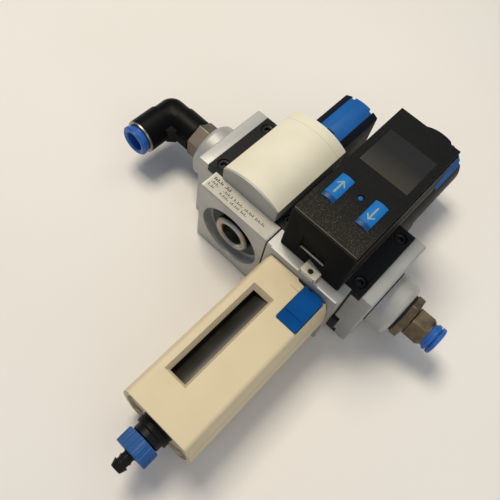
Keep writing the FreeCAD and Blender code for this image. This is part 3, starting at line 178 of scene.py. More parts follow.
@dataclass(frozen=True)
class Finish:
    """A finish with a tone that drifts, a surface grain, worn edges and a gloss that varies a little.

    Attributes:
        name: what the real material is and how its surface was made.
        colour: sRGB hex of the body colour.
        shade: sRGB hex that the colour drifts to in broad soft patches.
        patch_mm: size of those patches.
        grain_mm: spacing of the surface grain.
        grain_depth: height of the grain, 0 to 1 of a tenth of a millimetre.
        rough: lowest and highest roughness.
        metallic: 1 for bare metal.
        ior: index of refraction, only used on what isn't metal.
        stretch: grain scale along X, Y and Z, for turned or drawn surfaces.
        speck: weight of pale specks where the grain stands up, a painted sheen of light on the grain.
        speck_tone: sRGB hex of those specks.
        specular: strength of the mirror layer on what isn't metal.
        worn: sRGB hex of the rubbed edges.
        wear: weight of the rubbed edges.
        edge_mm: radius of the edges that light and wear run round.
        fade: painted light or shade that takes over along an axis, if any.
    """

    name: str
    colour: str
    shade: str
    patch_mm: float = 14.0
    grain_mm: float = 0.5
    grain_depth: float = 0.25
    rough: tuple[float, float] = (0.4, 0.5)
    metallic: float = 0.0
    ior: float = 1.5
    stretch: tuple[float, float, float] = (1.0, 1.0, 1.0)
    speck: float = 0.0
    speck_tone: str = "8E8A76"
    specular: float = 0.5
    worn: str = "8C8A80"
    wear: float = 0.12
    edge_mm: float = 0.3
    fade: Fade | None = None

    def material(self) -> bpy.types.Material:
        """Returns the finish's material, made once."""
        known = bpy.data.materials.get(self.name)
        if known:
            return known
        mat = bpy.data.materials.new(self.name)
        mat.use_nodes = True
        tree = mat.node_tree
        tree.nodes.clear()
        place = add_node(tree, "ShaderNodeTexCoord").outputs["Object"]
        patches = add_node(tree, "ShaderNodeTexNoise",
                           {"Vector": place, "Scale": 1000 / self.patch_mm, "Detail": 3.0})
        stretched = add_node(tree, "ShaderNodeMapping", {"Vector": place, "Scale": self.stretch})
        grain = add_node(tree, "ShaderNodeTexNoise",
                         {"Vector": stretched.outputs[0], "Scale": 1000 / self.grain_mm,
                          "Detail": 2.0, "Roughness": 0.6})
        rounded = add_node(tree, "ShaderNodeBevel", {"Radius": self.edge_mm * MM}, samples=4)
        tone = add_node(tree, "ShaderNodeMapRange",
                        {"Value": patches.outputs["Fac"], "From Min": 0.35, "From Max": 0.65})
        colour = blended(tree, tone.outputs[0], linear(self.colour), linear(self.shade))
        colour = self.faded(tree, place, grain.outputs["Fac"], colour)
        if self.wear:
            colour = self.rubbed(tree, rounded.outputs[0], colour)
        gloss = add_node(tree, "ShaderNodeMapRange",
                         {"Value": patches.outputs["Fac"], "From Min": 0.3, "From Max": 0.7,
                          "To Min": self.rough[0], "To Max": self.rough[1]})
        bump = add_node(tree, "ShaderNodeBump",
                        {"Height": grain.outputs["Fac"], "Strength": self.grain_depth,
                         "Distance": 0.1 * MM, "Normal": rounded.outputs[0]})
        shader = add_node(tree, "ShaderNodeBsdfPrincipled",
                          {"Base Color": colour, "Roughness": gloss.outputs[0],
                           "Normal": bump.outputs[0], "Metallic": self.metallic})
        if not self.metallic:
            shader.inputs["IOR"].default_value = self.ior
            shader.inputs["Specular IOR Level"].default_value = self.specular
        add_node(tree, "ShaderNodeOutputMaterial", {"Surface": shader.outputs[0]})
        mat.diffuse_color = linear(self.colour)
        return mat

    def faded(self, tree: bpy.types.NodeTree, place: bpy.types.NodeSocket,
              grain: bpy.types.NodeSocket, colour: bpy.types.NodeSocket) -> bpy.types.NodeSocket:
        """Adds the painted light or shade that takes over along an axis, and the pale specks of painted
        sheen that go with it.

        Args:
            tree: node tree of the material.
            place: Object coordinates.
            grain: height of the grain.
            colour: colour so far.

        Returns:
            The new colour.
        """
        reach: float | bpy.types.NodeSocket = self.speck
        if self.fade:
            apart = add_node(tree, "ShaderNodeSeparateXYZ", {0: place})
            part = apart.outputs[self.fade.axis]
            limits = {"Value": part, "From Min": self.fade.start_mm * MM,
                      "From Max": self.fade.end_mm * MM}
            full = add_node(tree, "ShaderNodeMapRange", limits).outputs[0]
            colour = blended(tree, full, colour, linear(self.fade.colour))
            reach = add_node(tree, "ShaderNodeMapRange",
                             limits | {"To Min": self.speck * 0.12, "To Max": self.speck}).outputs[0]
        if self.speck:
            high = add_node(tree, "ShaderNodeMapRange",
                            {"Value": grain, "From Min": 0.55, "From Max": 0.70, "To Max": reach})
            colour = blended(tree, high.outputs[0], colour, linear(self.speck_tone))
        return colour

    def rubbed(self, tree: bpy.types.NodeTree, rounded: bpy.types.NodeSocket,
               colour: bpy.types.NodeSocket) -> bpy.types.NodeSocket:
        """Adds a paler tone along the edges, where handling has rubbed them.

        Args:
            tree: node tree of the material.
            rounded: normal that runs round the edges.
            colour: colour so far.

        Returns:
            The new colour.
        """
        flat = add_node(tree, "ShaderNodeNewGeometry").outputs["Normal"]
        match = add_node(tree, "ShaderNodeVectorMath", {0: rounded, 1: flat}, operation="DOT_PRODUCT")
        edge = add_node(tree, "ShaderNodeMapRange", {"Value": match.outputs["Value"], "From Min": 0.97,
                                                     "From Max": 0.75, "To Max": self.wear})
        return blended(tree, edge.outputs[0], colour, linear(self.worn))


# Die-cast aluminium, blasted and dulled: pale warm grey, soft highlights, a sandy grain.
CASTING = Finish("blasted_die_cast_aluminium", "B1B1AA", "A8A8A2", 16, 0.45, 0.5, (0.36, 0.48), 0.3,
                 worn="D8D6CE", wear=0.35)
# Painted highlight along the regulator's foot, where the edge catches the light: a thin line, kept
# non-metallic so that it is pale from every side.
FOOT_EDGE_HIGHLIGHT = Finish("painted_foot_edge_highlight", "FBF8EE", "F3F0E6", 8, 0.3, 0.1, (0.3, 0.4), wear=0.0)
# Glass-filled polyamide in cream: even satin, very fine pitting.
COVER_CREAM = Finish("moulded_cream_polyamide", "DFDBC6", "D9D4BC", 22, 0.35, 0.12, (0.40, 0.48),
                     specular=0.35, worn="F0EBD8", wear=0.4)
# The bowl guard's cream is warmer and a little darker than the cover's, with pale edges.
GUARD_CREAM = Finish("moulded_warm_cream_polyamide", "D1C3A1", "CBBC99", 30, 0.4, 0.12, (0.42, 0.5),
                     specular=0.3, worn="E6DABB", wear=0.45)
# Painted shade in the narrow slits beside the release slide: dull brown lines.
SLIT_BROWN = Finish("painted_slit_shade", "8E7A5C", "9C8866", 3, 0.3, 0.2, (0.6, 0.7), wear=0.0)
# Black moulded polyamide: spark-eroded mould texture gives tiny dull sparkles.
BLACK = Finish("spark_textured_black_polyamide", "0F1111", "151716", 18, 0.35, 0.5, (0.42, 0.55),
               specular=0.16, worn="3C3D3A", wear=0.3)
# The handles are dyed a blue-black, smoother than the frames.
KNOB_BLACK = Finish("blue_black_polyamide", "0A0F18", "0E141E", 14, 0.4, 0.3, (0.45, 0.55),
                    specular=0.12, worn="2C333D", wear=0.3)
# The sensor's front is coarser, with a painted sheen towards its lower edge, where its grain shows as pale
# specks.
FACE_BLACK = Finish("coarse_textured_black_abs", "0E0F10", "131414", 20, 0.42, 0.9, (0.5, 0.6),
                    speck=0.34, specular=0.1, worn="6A6858", wear=0.5,
                    fade=Fade(1, -4.0, -25.0, "1F1D16"))
# The sensor's housing is the same black, matt in its flanks.
CASE_BLACK = Finish("matt_black_abs", "0B0C0C", "101110", 16, 0.4, 0.4, (0.55, 0.65), specular=0.07,
                    worn="35342D", wear=0.3)
# Painted sheen on black edges: a dull olive line where they catch the light.
EDGE_SHEEN = Finish("painted_sheen_black_edge", "6F6C5C", "5E5C4E", 6, 0.4, 0.3, (0.4, 0.5), specular=0.2)
# The elbow's black is smoother and slightly grey on its worn high spots.
ELBOW_BLACK = Finish("smooth_black_pbt", "070808", "0C0D0C", 12, 0.8, 0.15, (0.36, 0.48), specular=0.08,
                     worn="4A483F", wear=0.35)
# Locking slides: satin blue polyamide with pale rubbed edges.
KNOB_BLUE = Finish("satin_blue_polyamide", "0F5BA2", "0D5194", 12, 0.4, 0.15, (0.45, 0.55),
                   specular=0.2, worn="5E93C6", wear=0.35)
# Arrow buttons: smoother and brighter, with a band of painted shade where they dip at their lower ends.
BUTTON_BLUE = Finish("blue_polycarbonate", "136CB4", "1164A8", 10, 0.6, 0.08, (0.34, 0.42), specular=0.2,
                     worn="5FA0D2", wear=0.3, fade=Fade(1, -11.7, -12.3, "083F70"))
# The edit button is duller and sits deep in its hole.
EDIT_BLUE = Finish("dull_blue_polycarbonate", "245C9C", "205694", 4, 0.4, 0.15, (0.5, 0.6), specular=0.15)
# Bowl release: a deep matt blue, the dullest of the blues.
RELEASE_BLUE = Finish("deep_blue_acetal", "02498A", "01437E", 12, 0.5, 0.12, (0.55, 0.65), specular=0.05,
                      worn="3A78B4", wear=0.3)
# Drain nut: every rib has a pale worn crest.
NUT_BLUE = Finish("blue_acetal", "185392", "134A86", 9, 0.5, 0.12, (0.38, 0.48), specular=0.25,
                  worn="7FA8D4", wear=0.6, edge_mm=0.15)
# Release rings: the glossiest blue, with soft highlights on their rims.
RING_BLUE = Finish("translucent_blue_acetal", "2562B2", "2057A4", 7, 0.5, 0.1, (0.3, 0.4), specular=0.35,
                   worn="6C9CD8", wear=0.35)
# Machined brass under matt nickel: warm grey metal with turning marks round the axis.
NICKEL = Finish("matt_nickel_on_turned_brass", "8F8576", "7C7366", 9, 0.12, 0.35, (0.4, 0.52), 1.0,
                stretch=(1.0, 0.04, 0.04), worn="D6CCBC", wear=0.5)
# The same on the elbow's rolled ring, brighter, with its turning marks round Y.
RING_NICKEL = Finish("nickel_on_turned_brass_ring", "A89E8D", "91887A", 6, 0.12, 0.35, (0.26, 0.4), 1.0,
                     stretch=(0.04, 1.0, 0.04), worn="EDE6DA", wear=0.6)
# The exhaust's thread ring: a bright face, with painted shade that darkens its thread and its flank behind
# it.
PORT_NICKEL = Finish("nickel_on_turned_brass_port", "B0ADA5", "97938B", 6, 0.12, 0.35, (0.26, 0.4), 1.0,
                     stretch=(0.04, 1.0, 0.04), worn="DDD6CA", wear=0.5,
                     fade=Fade(1, -29.0, -27.9, "39362F"))
# Nickel worn thin over brass on the outlet's hexagons: brown-grey metal with pale corners.
DULL_BRASS = Finish("dulled_nickel_on_brass", "7F7156", "5E5547", 6, 0.14, 0.4, (0.32, 0.44), 1.0,
                    stretch=(1.0, 0.05, 0.05), worn="C9BFA6", wear=0.5)
# Zinc-plated steel: bright neutral metal on jaws, springs and spindles.
ZINC = Finish("bright_zinc_plated_steel", "B9B9B8", "A5A5A4", 6, 0.3, 0.2, (0.25, 0.38), 1.0)
# Blackened steel screws: dark oily metal with rubbed rims.
SCREW_BLACK = Finish("blackened_steel", "2A2B2B", "1F2020", 5, 0.25, 0.3, (0.34, 0.46), 0.7,
                     worn="777672", wear=0.4, edge_mm=0.15)
# Seals: flat black without a highlight.
RUBBER = Finish("moulded_nitrile_rubber", "151515", "1B1B1B", 8, 0.5, 0.3, (0.6, 0.7), specular=0.3)
# Smoked polycarbonate bowl over a dark filter: nearly black, dulled by oil mist.
SMOKED = Finish("smoked_polycarbonate", "1C1D18", "2A2A23", 12, 2.0, 0.05, (0.3, 0.42), ior=1.58,
                specular=0.2)
# Display window: dark tinted acrylic with finger marks, and a painted warm reflection towards its lower
# edge.
SCREEN = Finish("tinted_acrylic_window", "171918", "1C1E1D", 16, 3.0, 0.02, (0.2, 0.32), ior=1.49,
                specular=0.15, fade=Fade(1, 24.0, 9.0, "3B382E"), worn="8A867A", wear=0.5)
# Rating plate: a warm grey printed film that glows softly.
# The same finish paints the pale highlight strip in the sensor's recess.
LABEL_AND_HIGHLIGHT = Finish("satin_printed_film_and_highlight", "BCB8A9", "B3AFA0", 10, 0.6, 0.08, (0.44, 0.52), specular=0.3)
# Its print: flat, nearly black, warm.
MARK_GREY = Finish("dark_grey_print", "2B2923", "34322B", 5, 0.6, 0.05, (0.45, 0.5), wear=0.0)
# The signs on the buttons: pale greenish print, dulled by touch.
ARROW_PALE = Finish("pale_printed_arrow", "7F9A9A", "879E9B", 5, 0.6, 0.05, (0.5, 0.6), specular=0.2,
                    wear=0.0)
# Painted shade on the floor of the exhaust's recess: a matt slate grey ring under the bright ring.
DISH_SHADE_GREY = Finish("painted_dish_floor_shade", "55585A", "4B4E50", 8, 0.6, 0.15, (0.6, 0.75), specular=0.2)
# Painted shade in undercuts, catch and scoop: navy so dark that it reads as a gap.
SHADOW_NAVY = Finish("painted_shade_navy", "0B1222", "0D1728", 8, 0.5, 0.1, (0.45, 0.55), specular=0.15)
# Filter element: chalky white, grainy.
FILTER_WHITE = Finish("sintered_polyethylene", "D9D9D2", "CFCFC8", 5, 0.25, 0.9, (0.7, 0.85))
# Circuit board: even green lacquer.
BOARD_GREEN = Finish("solder_resist_board", "1E5A34", "1A4F2E", 5, 1.2, 0.1, (0.3, 0.4))
# The table: pale matt paint, so even that only the unit's shadow shows on it.
FLOOR_PALE = Finish("matt_pale_floor", "E6E3DC", "E2DED6", 300, 4.0, 0.02, (0.7, 0.8), wear=0.0)

# Which CAD nodes wear which finish.
CAD_FINISH: dict[str, Finish] = {node: finish for finish, nodes in (
    (CASTING, "inlet_port_plate outlet_port_plate regulator_body valve_body"),
    (COVER_CREAM, "sensor_mounting_plate valve_cover"),
    (GUARD_CREAM, "bowl_guard"),
    (BLACK, "drain_body drain_stem filter_retainer inlet_connector_frame "
            "module_connector_frame outlet_connector_frame regulator_bonnet spring_tube "
            "swirl_baffle"),
    (KNOB_BLACK, "regulator_knob valve_knob"),
    (FACE_BLACK, "sensor_face"),
    (CASE_BLACK, "sensor_case"),
    (ELBOW_BLACK, "inlet_elbow_body"),
    (KNOB_BLUE, "regulator_lock_slide valve_lock_slide"),
    (BUTTON_BLUE, "down_button up_button"),
    (EDIT_BLUE, "edit_button"),
    (RELEASE_BLUE, "bowl_release_slide"),
    (NUT_BLUE, "drain_nut"),
    (RING_BLUE, "inlet_release_ring outlet_release_ring"),
    (NICKEL, "inlet_stud"),
    (RING_NICKEL, "inlet_clamp_ring"),
    (PORT_NICKEL, "exhaust_thread_ring"),
    (DULL_BRASS, "outlet_fitting_body outlet_reducer spring_seat valve_spool"),
    (ZINC, "adjusting_spindle diaphragm_plate inlet_gripping_ring outlet_gripping_ring "
           "poppet_spring regulating_spring valve_stem"),
    (SCREW_BLACK, "inlet_connector_screws module_connector_screws outlet_connector_screws"),
    (RUBBER, "bowl_seal channel_seals diaphragm inlet_thread_seal inlet_tube_seal "
             "outlet_thread_seal outlet_tube_seal poppet"),
    (SMOKED, "bowl"),
    (SCREEN, "display_window"),
    (LABEL_AND_HIGHLIGHT, "valve_rating_plate"),
    (FILTER_WHITE, "filter_element"),
    (BOARD_GREEN, "circuit_board"),
) for node in nodes.split()}
BODY_OF = {node: body for body, nodes in frame["record"]["behaviour"]["bodies"].items()
           for node in nodes}


# ---- making pieces ----------------------------------------------------------------------------
def finish_piece(name: str, mesh: bmesh.types.BMesh, finish: Finish, body: str,
                 stands_for: Sequence[str] = (), smooth: float = 35.0) -> bpy.types.Object:
    """Turns a bmesh into a dressed piece that rides on a body.

    Args:
        name: the piece's name.
        mesh: its shape in metres, in the frame. It is freed here.
        finish: its finish.
        body: the CAD body it rides on.
        stands_for: CAD nodes that it replaces.
        smooth: largest angle in degrees that is shaded as one surface.

    Returns:
        The new object.
    """
    data = bpy.data.meshes.new(name)
    mesh.to_mesh(data)
    mesh.free()
    data.materials.append(finish.material())
    piece = bpy.data.objects.new(name, data)
    bpy.context.scene.collection.objects.link(piece)
    data.shade_smooth()
    data.set_sharp_from_angle(angle=math.radians(smooth))
    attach(piece, body)
    if stands_for:
        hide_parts(*stands_for)
    LOG.info("%s: %d faces on %s", name, len(data.polygons), body)
    return piece


def cad_copy(node: str) -> bmesh.types.BMesh:
    """Copies a CAD node's mesh, merged and with its flat faces joined.

    Args:
        node: the CAD node.

    Returns:
        A bmesh in the frame.
    """
    mesh = bmesh.new()
    mesh.from_mesh(NODES[node].data)
    bmesh.ops.remove_doubles(mesh, verts=mesh.verts, dist=0.002 * MM)
    bmesh.ops.dissolve_limit(mesh, angle_limit=math.radians(0.6), verts=mesh.verts, edges=mesh.edges,
                             use_dissolve_boundaries=False)
    return mesh


def soften(node: str, radius_mm: float, shape: Callable[[bmesh.types.BMesh], None] | None = None,
           segments: int = 2) -> bpy.types.Object:
    """Replaces a CAD node by a copy whose sharp edges are rounded as moulds and casting leave them.

    Args:
        node: the CAD node.
        radius_mm: width of the rounded edges.
        shape: optional change made to the copy first, such as a groove.
        segments: steps across a rounded edge.

    Returns:
        The new piece.
    """
    mesh = cad_copy(node)
    if shape:
        shape(mesh)
    piece = finish_piece(node + "_dressed", mesh, CAD_FINISH[node], BODY_OF[node],
                         [node], smooth=40.0)
    edge = piece.modifiers.new("rounded_edges", "BEVEL")
    edge.width = radius_mm * MM
    edge.segments = segments
    edge.limit_method = "ANGLE"
    edge.angle_limit = math.radians(40)
    return piece


def turned(profile: Iterable[tuple[float, float]], centre: Vector, axis: Axis,
           steps: int) -> bmesh.types.BMesh:
    """Spins a profile into a turned solid.

    Args:
        profile: closed loop of (radius, place along the axis) in mm.
        centre: a point on the axis, in metres. Places along the axis count from it.
        axis: the axis.
        steps: faces round the axis.

    Returns:
        The closed bmesh.
    """
    mesh = bmesh.new()
    ring = [mesh.verts.new((r * MM, 0, h * MM)) for r, h in profile]
    edges = [mesh.edges.new((a, b)) for a, b in zip(ring, ring[1:] + ring[:1])]
    bmesh.ops.spin(mesh, geom=ring + edges, cent=(0, 0, 0), axis=(0, 0, 1), dvec=(0, 0, 0),
                   angle=2 * math.pi, steps=steps, use_merge=True, use_duplicate=False)
    bmesh.ops.remove_doubles(mesh, verts=mesh.verts, dist=0.001 * MM)
    bmesh.ops.transform(mesh, matrix=Matrix.Translation(centre) @ axis.turn(), verts=mesh.verts)
    bmesh.ops.recalc_face_normals(mesh, faces=mesh.faces)
    return mesh


def block(low: Sequence[float], high: Sequence[float], edge_mm: float = 0.0,
          segments: int = 3) -> bmesh.types.BMesh:
    """Makes a block between two corners in mm, with rounded edges.

    Args:
        low: lowest corner in mm.
        high: highest corner in mm.
        edge_mm: radius of the edges.
        segments: steps across an edge.

    Returns:
        The closed bmesh.
    """
    mesh = bmesh.new()
    bmesh.ops.create_cube(mesh, size=1.0)
    size = [(b - a) * MM for a, b in zip(low, high)]
    mid = [(a + b) / 2 * MM for a, b in zip(low, high)]
    bmesh.ops.scale(mesh, vec=size, verts=mesh.verts)
    bmesh.ops.translate(mesh, vec=mid, verts=mesh.verts)
    if edge_mm:
        bmesh.ops.bevel(mesh, geom=list(mesh.edges), offset=edge_mm * MM, offset_type="OFFSET",
                        segments=segments, profile=0.5, affect="EDGES", material=-1)
    return mesh


def slab(outline: Sequence[tuple[float, float]], z0: float, z1: float) -> bmesh.types.BMesh:
    """Makes a flat prism along Z.

    Args:
        outline: its corners (x, y) in mm, in order.
        z0: one end in mm.
        z1: the other end in mm.

    Returns:
        The closed bmesh.
    """
    mesh = bmesh.new()
    face = mesh.faces.new([mesh.verts.new((x * MM, y * MM, z0 * MM)) for x, y in outline])
    grown = bmesh.ops.extrude_face_region(mesh, geom=[face])
    top = [v for v in grown["geom"] if isinstance(v, bmesh.types.BMVert)]
    bmesh.ops.translate(mesh, vec=(0, 0, (z1 - z0) * MM), verts=top)
    bmesh.ops.recalc_face_normals(mesh, faces=mesh.faces)
    return mesh


def joined(meshes: Sequence[bmesh.types.BMesh]) -> bmesh.types.BMesh:
    """Puts several bmeshes into one and frees them.

    Args:
        meshes: the bmeshes.

    Returns:
        The new bmesh.
    """
    whole = bmesh.new()
    for part in meshes:
        data = bpy.data.meshes.new("part")
        part.to_mesh(data)
        part.free()
        whole.from_mesh(data)
        bpy.data.meshes.remove(data)
    return whole


def groove(mesh: bmesh.types.BMesh, axis: int, start: float, width_mm: float, depth_mm: float,
           chosen: Callable[[bmesh.types.BMFace], bool]) -> None:
    """Cuts a narrow sunk line across the chosen faces.

    Args:
        mesh: bmesh to change.
        axis: 0, 1 or 2: the groove runs across this axis.
        start: its lower side along that axis, in metres.
        width_mm: its width.
        depth_mm: its depth.
        chosen: tells which of the cut faces sink.
    """
    normal = Vector((axis == 0, axis == 1, axis == 2))
    end = start + width_mm * MM
    for place in (start, end):
        bmesh.ops.bisect_plane(mesh, geom=list(mesh.verts) + list(mesh.edges) + list(mesh.faces),
                               dist=1e-7, plane_co=normal * place, plane_no=normal)
    band = [f for f in mesh.faces
            if start < f.calc_center_median()[axis] < end and abs(f.normal[axis]) < 0.5 and chosen(f)]
    if band:
        bmesh.ops.inset_region(mesh, faces=band, thickness=0.05 * MM, depth=-depth_mm * MM,
                               use_even_offset=True)


def turned_node(node: str, profile: Iterable[tuple[float, float]], centre: Vector, axis: Axis,
                finish: Finish, steps: int) -> None:
    """Replaces a CAD node by a turned piece with the small steps that the solid leaves out.

    Args:
        node: the CAD node.
        profile: closed loop of (radius, place along the axis) in mm.
        centre: a point on the axis, in metres, that the places count from.
        axis: the axis.
        finish: its finish.
        steps: faces round the axis.
    """
    finish_piece(node + "_dressed", turned(profile, centre, axis, steps), finish, BODY_OF[node],
                 [node])


# ---- sub-assemblies ---------------------------------------------------------------------------
@dataclass
class Castings:
    """The valve, the regulator and both port plates, with soft cast edges. Lengths in mm.

    Attributes:
        edge_mm: rounding of the module castings.
        plate_edge_mm: rounding of the port plates.
        highlight_mm: width of the painted highlight line along the regulator's foot.
        highlight_sunk_mm: how far that line lies under the corner.
        highlight_spans: start and end of its two strips, from the regulator's left side.
        dome_length: how far the outlet's dome stands out of its plate.
        dome_r: radius of the dome's root.
        shade_line_r: inner and outer side of the painted shade line at the root, counted from that radius.
        shade_line_x: its start and end, counted from the plate's face.
    """

    edge_mm: float = 0.5
    plate_edge_mm: float = 0.6
    highlight_mm: float = 0.62
    highlight_sunk_mm: float = 0.12
    highlight_spans: tuple[tuple[float, float], ...] = ((2.4, 17.8), (28.6, 38.7))
    dome_length: float = 11.0
    dome_r: float = 14.4
    shade_line_r: tuple[float, float] = (-0.6, 0.14)
    shade_line_x: tuple[float, float] = (-0.1, 0.55)

    def build(self) -> None:
        """Builds the cast pieces."""
        soften("valve_body", self.edge_mm)
        soften("regulator_body", self.edge_mm)
        for side in ("inlet", "outlet"):
            soften(side + "_port_plate", self.plate_edge_mm, segments=3)
        self.painted_foot_highlight()
        self.dome_shade_line()

    def dome_shade_line(self) -> None:
        """Builds the painted shade line where the outlet's dome leaves its plate."""
        low, high = corners("outlet_reducer")
        plate_x = corners("outlet_port_plate")[1].x - self.dome_length * MM
        centre = Vector((plate_x, (low.y + high.y) / 2, (low.z + high.z) / 2))
        inner, outer = (self.dome_r + step for step in self.shade_line_r)
        start, end = self.shade_line_x
        profile = [(inner, start), (outer, start), (outer, end), (inner, end)]
        finish_piece("outlet_dome_painted_shade", turned(profile, centre, Axis.X, 72), SHADOW_NAVY, "base")

    def painted_foot_highlight(self) -> None:
        """Builds the thin painted highlight line along the regulator's foot, left and right of the screw
        tab.
        """
        low = corners_mm("regulator_body")[0]
        top = corners_mm("sensor_mounting_plate")[0].z
        inward = (self.highlight_sunk_mm + self.highlight_mm / 2) / math.sqrt(2)
        strips = []
        for start, end in self.highlight_spans:
            strip = bmesh.new()
            bmesh.ops.create_cube(strip, size=MM)
            bmesh.ops.scale(strip, vec=(end - start, self.highlight_mm, self.highlight_mm), verts=strip.verts)
            bmesh.ops.rotate(strip, cent=(0, 0, 0), matrix=Matrix.Rotation(math.radians(45), 3, "X"),
                             verts=strip.verts)
            place = Vector((low.x + (start + end) / 2, low.y + inward, top - inward)) * MM
            bmesh.ops.translate(strip, vec=place, verts=strip.verts)
            strips.append(strip)
        # The pale strips are painted highlight on the foot's edge.
        finish_piece("regulator_foot_painted_highlight", joined(strips), FOOT_EDGE_HIGHLIGHT, "base")


@dataclass
class ConnectorFrames:
    """Black frames, their recessed screws and the bright jaws that show at their lower ends, in mm.

    Attributes:
        edge_mm: rounding of the frames.
        head_r: radius of a screw's head.
        socket_r: radius of its socket.
        hook_low: the hook's lowest corner, from the regulator's right side, foot and front. It ends just
            past the foot, short of the bowl guard's corners as they swing by.
        hook_high: its highest corner, from the same place.
        jaw_spans: start of each jaw, from the joint between the modules, and its width.
        jaw_y: the jaws' lower and upper end, from the port plate's foot.
        jaw_z: their back and front, from the port plate's front.
    """

    edge_mm: float = 0.35
    head_r: float = 2.95
    socket_r: float = 1.45
    hook_low: tuple[float, float, float] = (0.6, -0.12, -22.4)
    hook_high: tuple[float, float, float] = (4.4, 2.0, -12.6)
    jaw_spans: tuple[tuple[float, float], ...] = ((41.6, 1.3), (43.4, 1.1))
    jaw_y: tuple[float, float] = (0.02, 1.6)
    jaw_z: tuple[float, float] = (-5.5, -4.15)

    def build(self) -> None:
        """Builds frames, screws, jaws and the hook."""
        for name in ("inlet", "module", "outlet"):
            soften(name + "_connector_frame", self.edge_mm)
            self.screws(name + "_connector_screws")
        self.jaws(-1, "inlet")
        self.jaws(1, "outlet")
        self.hook()

    def hook(self) -> None:
        """Builds the black clamping hook that grips the outlet plate's lower edge."""
        low, high = corners_mm("regulator_body")
        corner = Vector((high.x, low.y, high.z))
        mesh = block(corner + Vector(self.hook_low), corner + Vector(self.hook_high), 0.4, 3)
        finish_piece("outlet_frame_hook", mesh, BLACK, "base")

    def screws(self, node: str) -> None:
        """Builds two screws, each with a turned head and a rimmed socket.

        Args:
            node: the CAD node of both screws.
        """
        low, high = corners(node)
        x = (low.x + high.x) / 2
        r, s = self.head_r, self.socket_r
        profile = [(0.01, -1.6), (s * 0.9, -1.6), (s, -1.3), (s, -0.35), (s + 0.25, -0.1), (s + 0.5, -0.1),
                   (s + 0.6, -0.25), (s + 0.75, -0.1), (r - 0.35, 0), (r, -0.35), (r, -2.5), (1.5, -2.55),
                   (1.5, -11.6), (0.01, -11.6)]
        heads = [turned(profile, Vector((x, y, high.z)), Axis.Z, 36)
                 for y in (low.y + r * MM, high.y - r * MM)]
        finish_piece(node + "_dressed", joined(heads), SCREW_BLACK, "base", [node])

    def jaws(self, side: int, name: str) -> None:
        """Builds the two small bright clamping jaws beside a frame's web.

        Args:
            side: -1 for the inlet's side, 1 for the outlet's.
            name: inlet or outlet.
        """
        low, high = corners_mm(name + "_port_plate")
        pieces = []
        for start, width in self.jaw_spans:
            x0, x1 = sorted((side * start, side * (start + width)))
            pieces.append(block((x0, low.y + self.jaw_y[0], high.z + self.jaw_z[0]),
                                (x1, low.y + self.jaw_y[1], high.z + self.jaw_z[1]), 0.25, 2))
        finish_piece(name + "_clamp_jaws", joined(pieces), ZINC, "base")


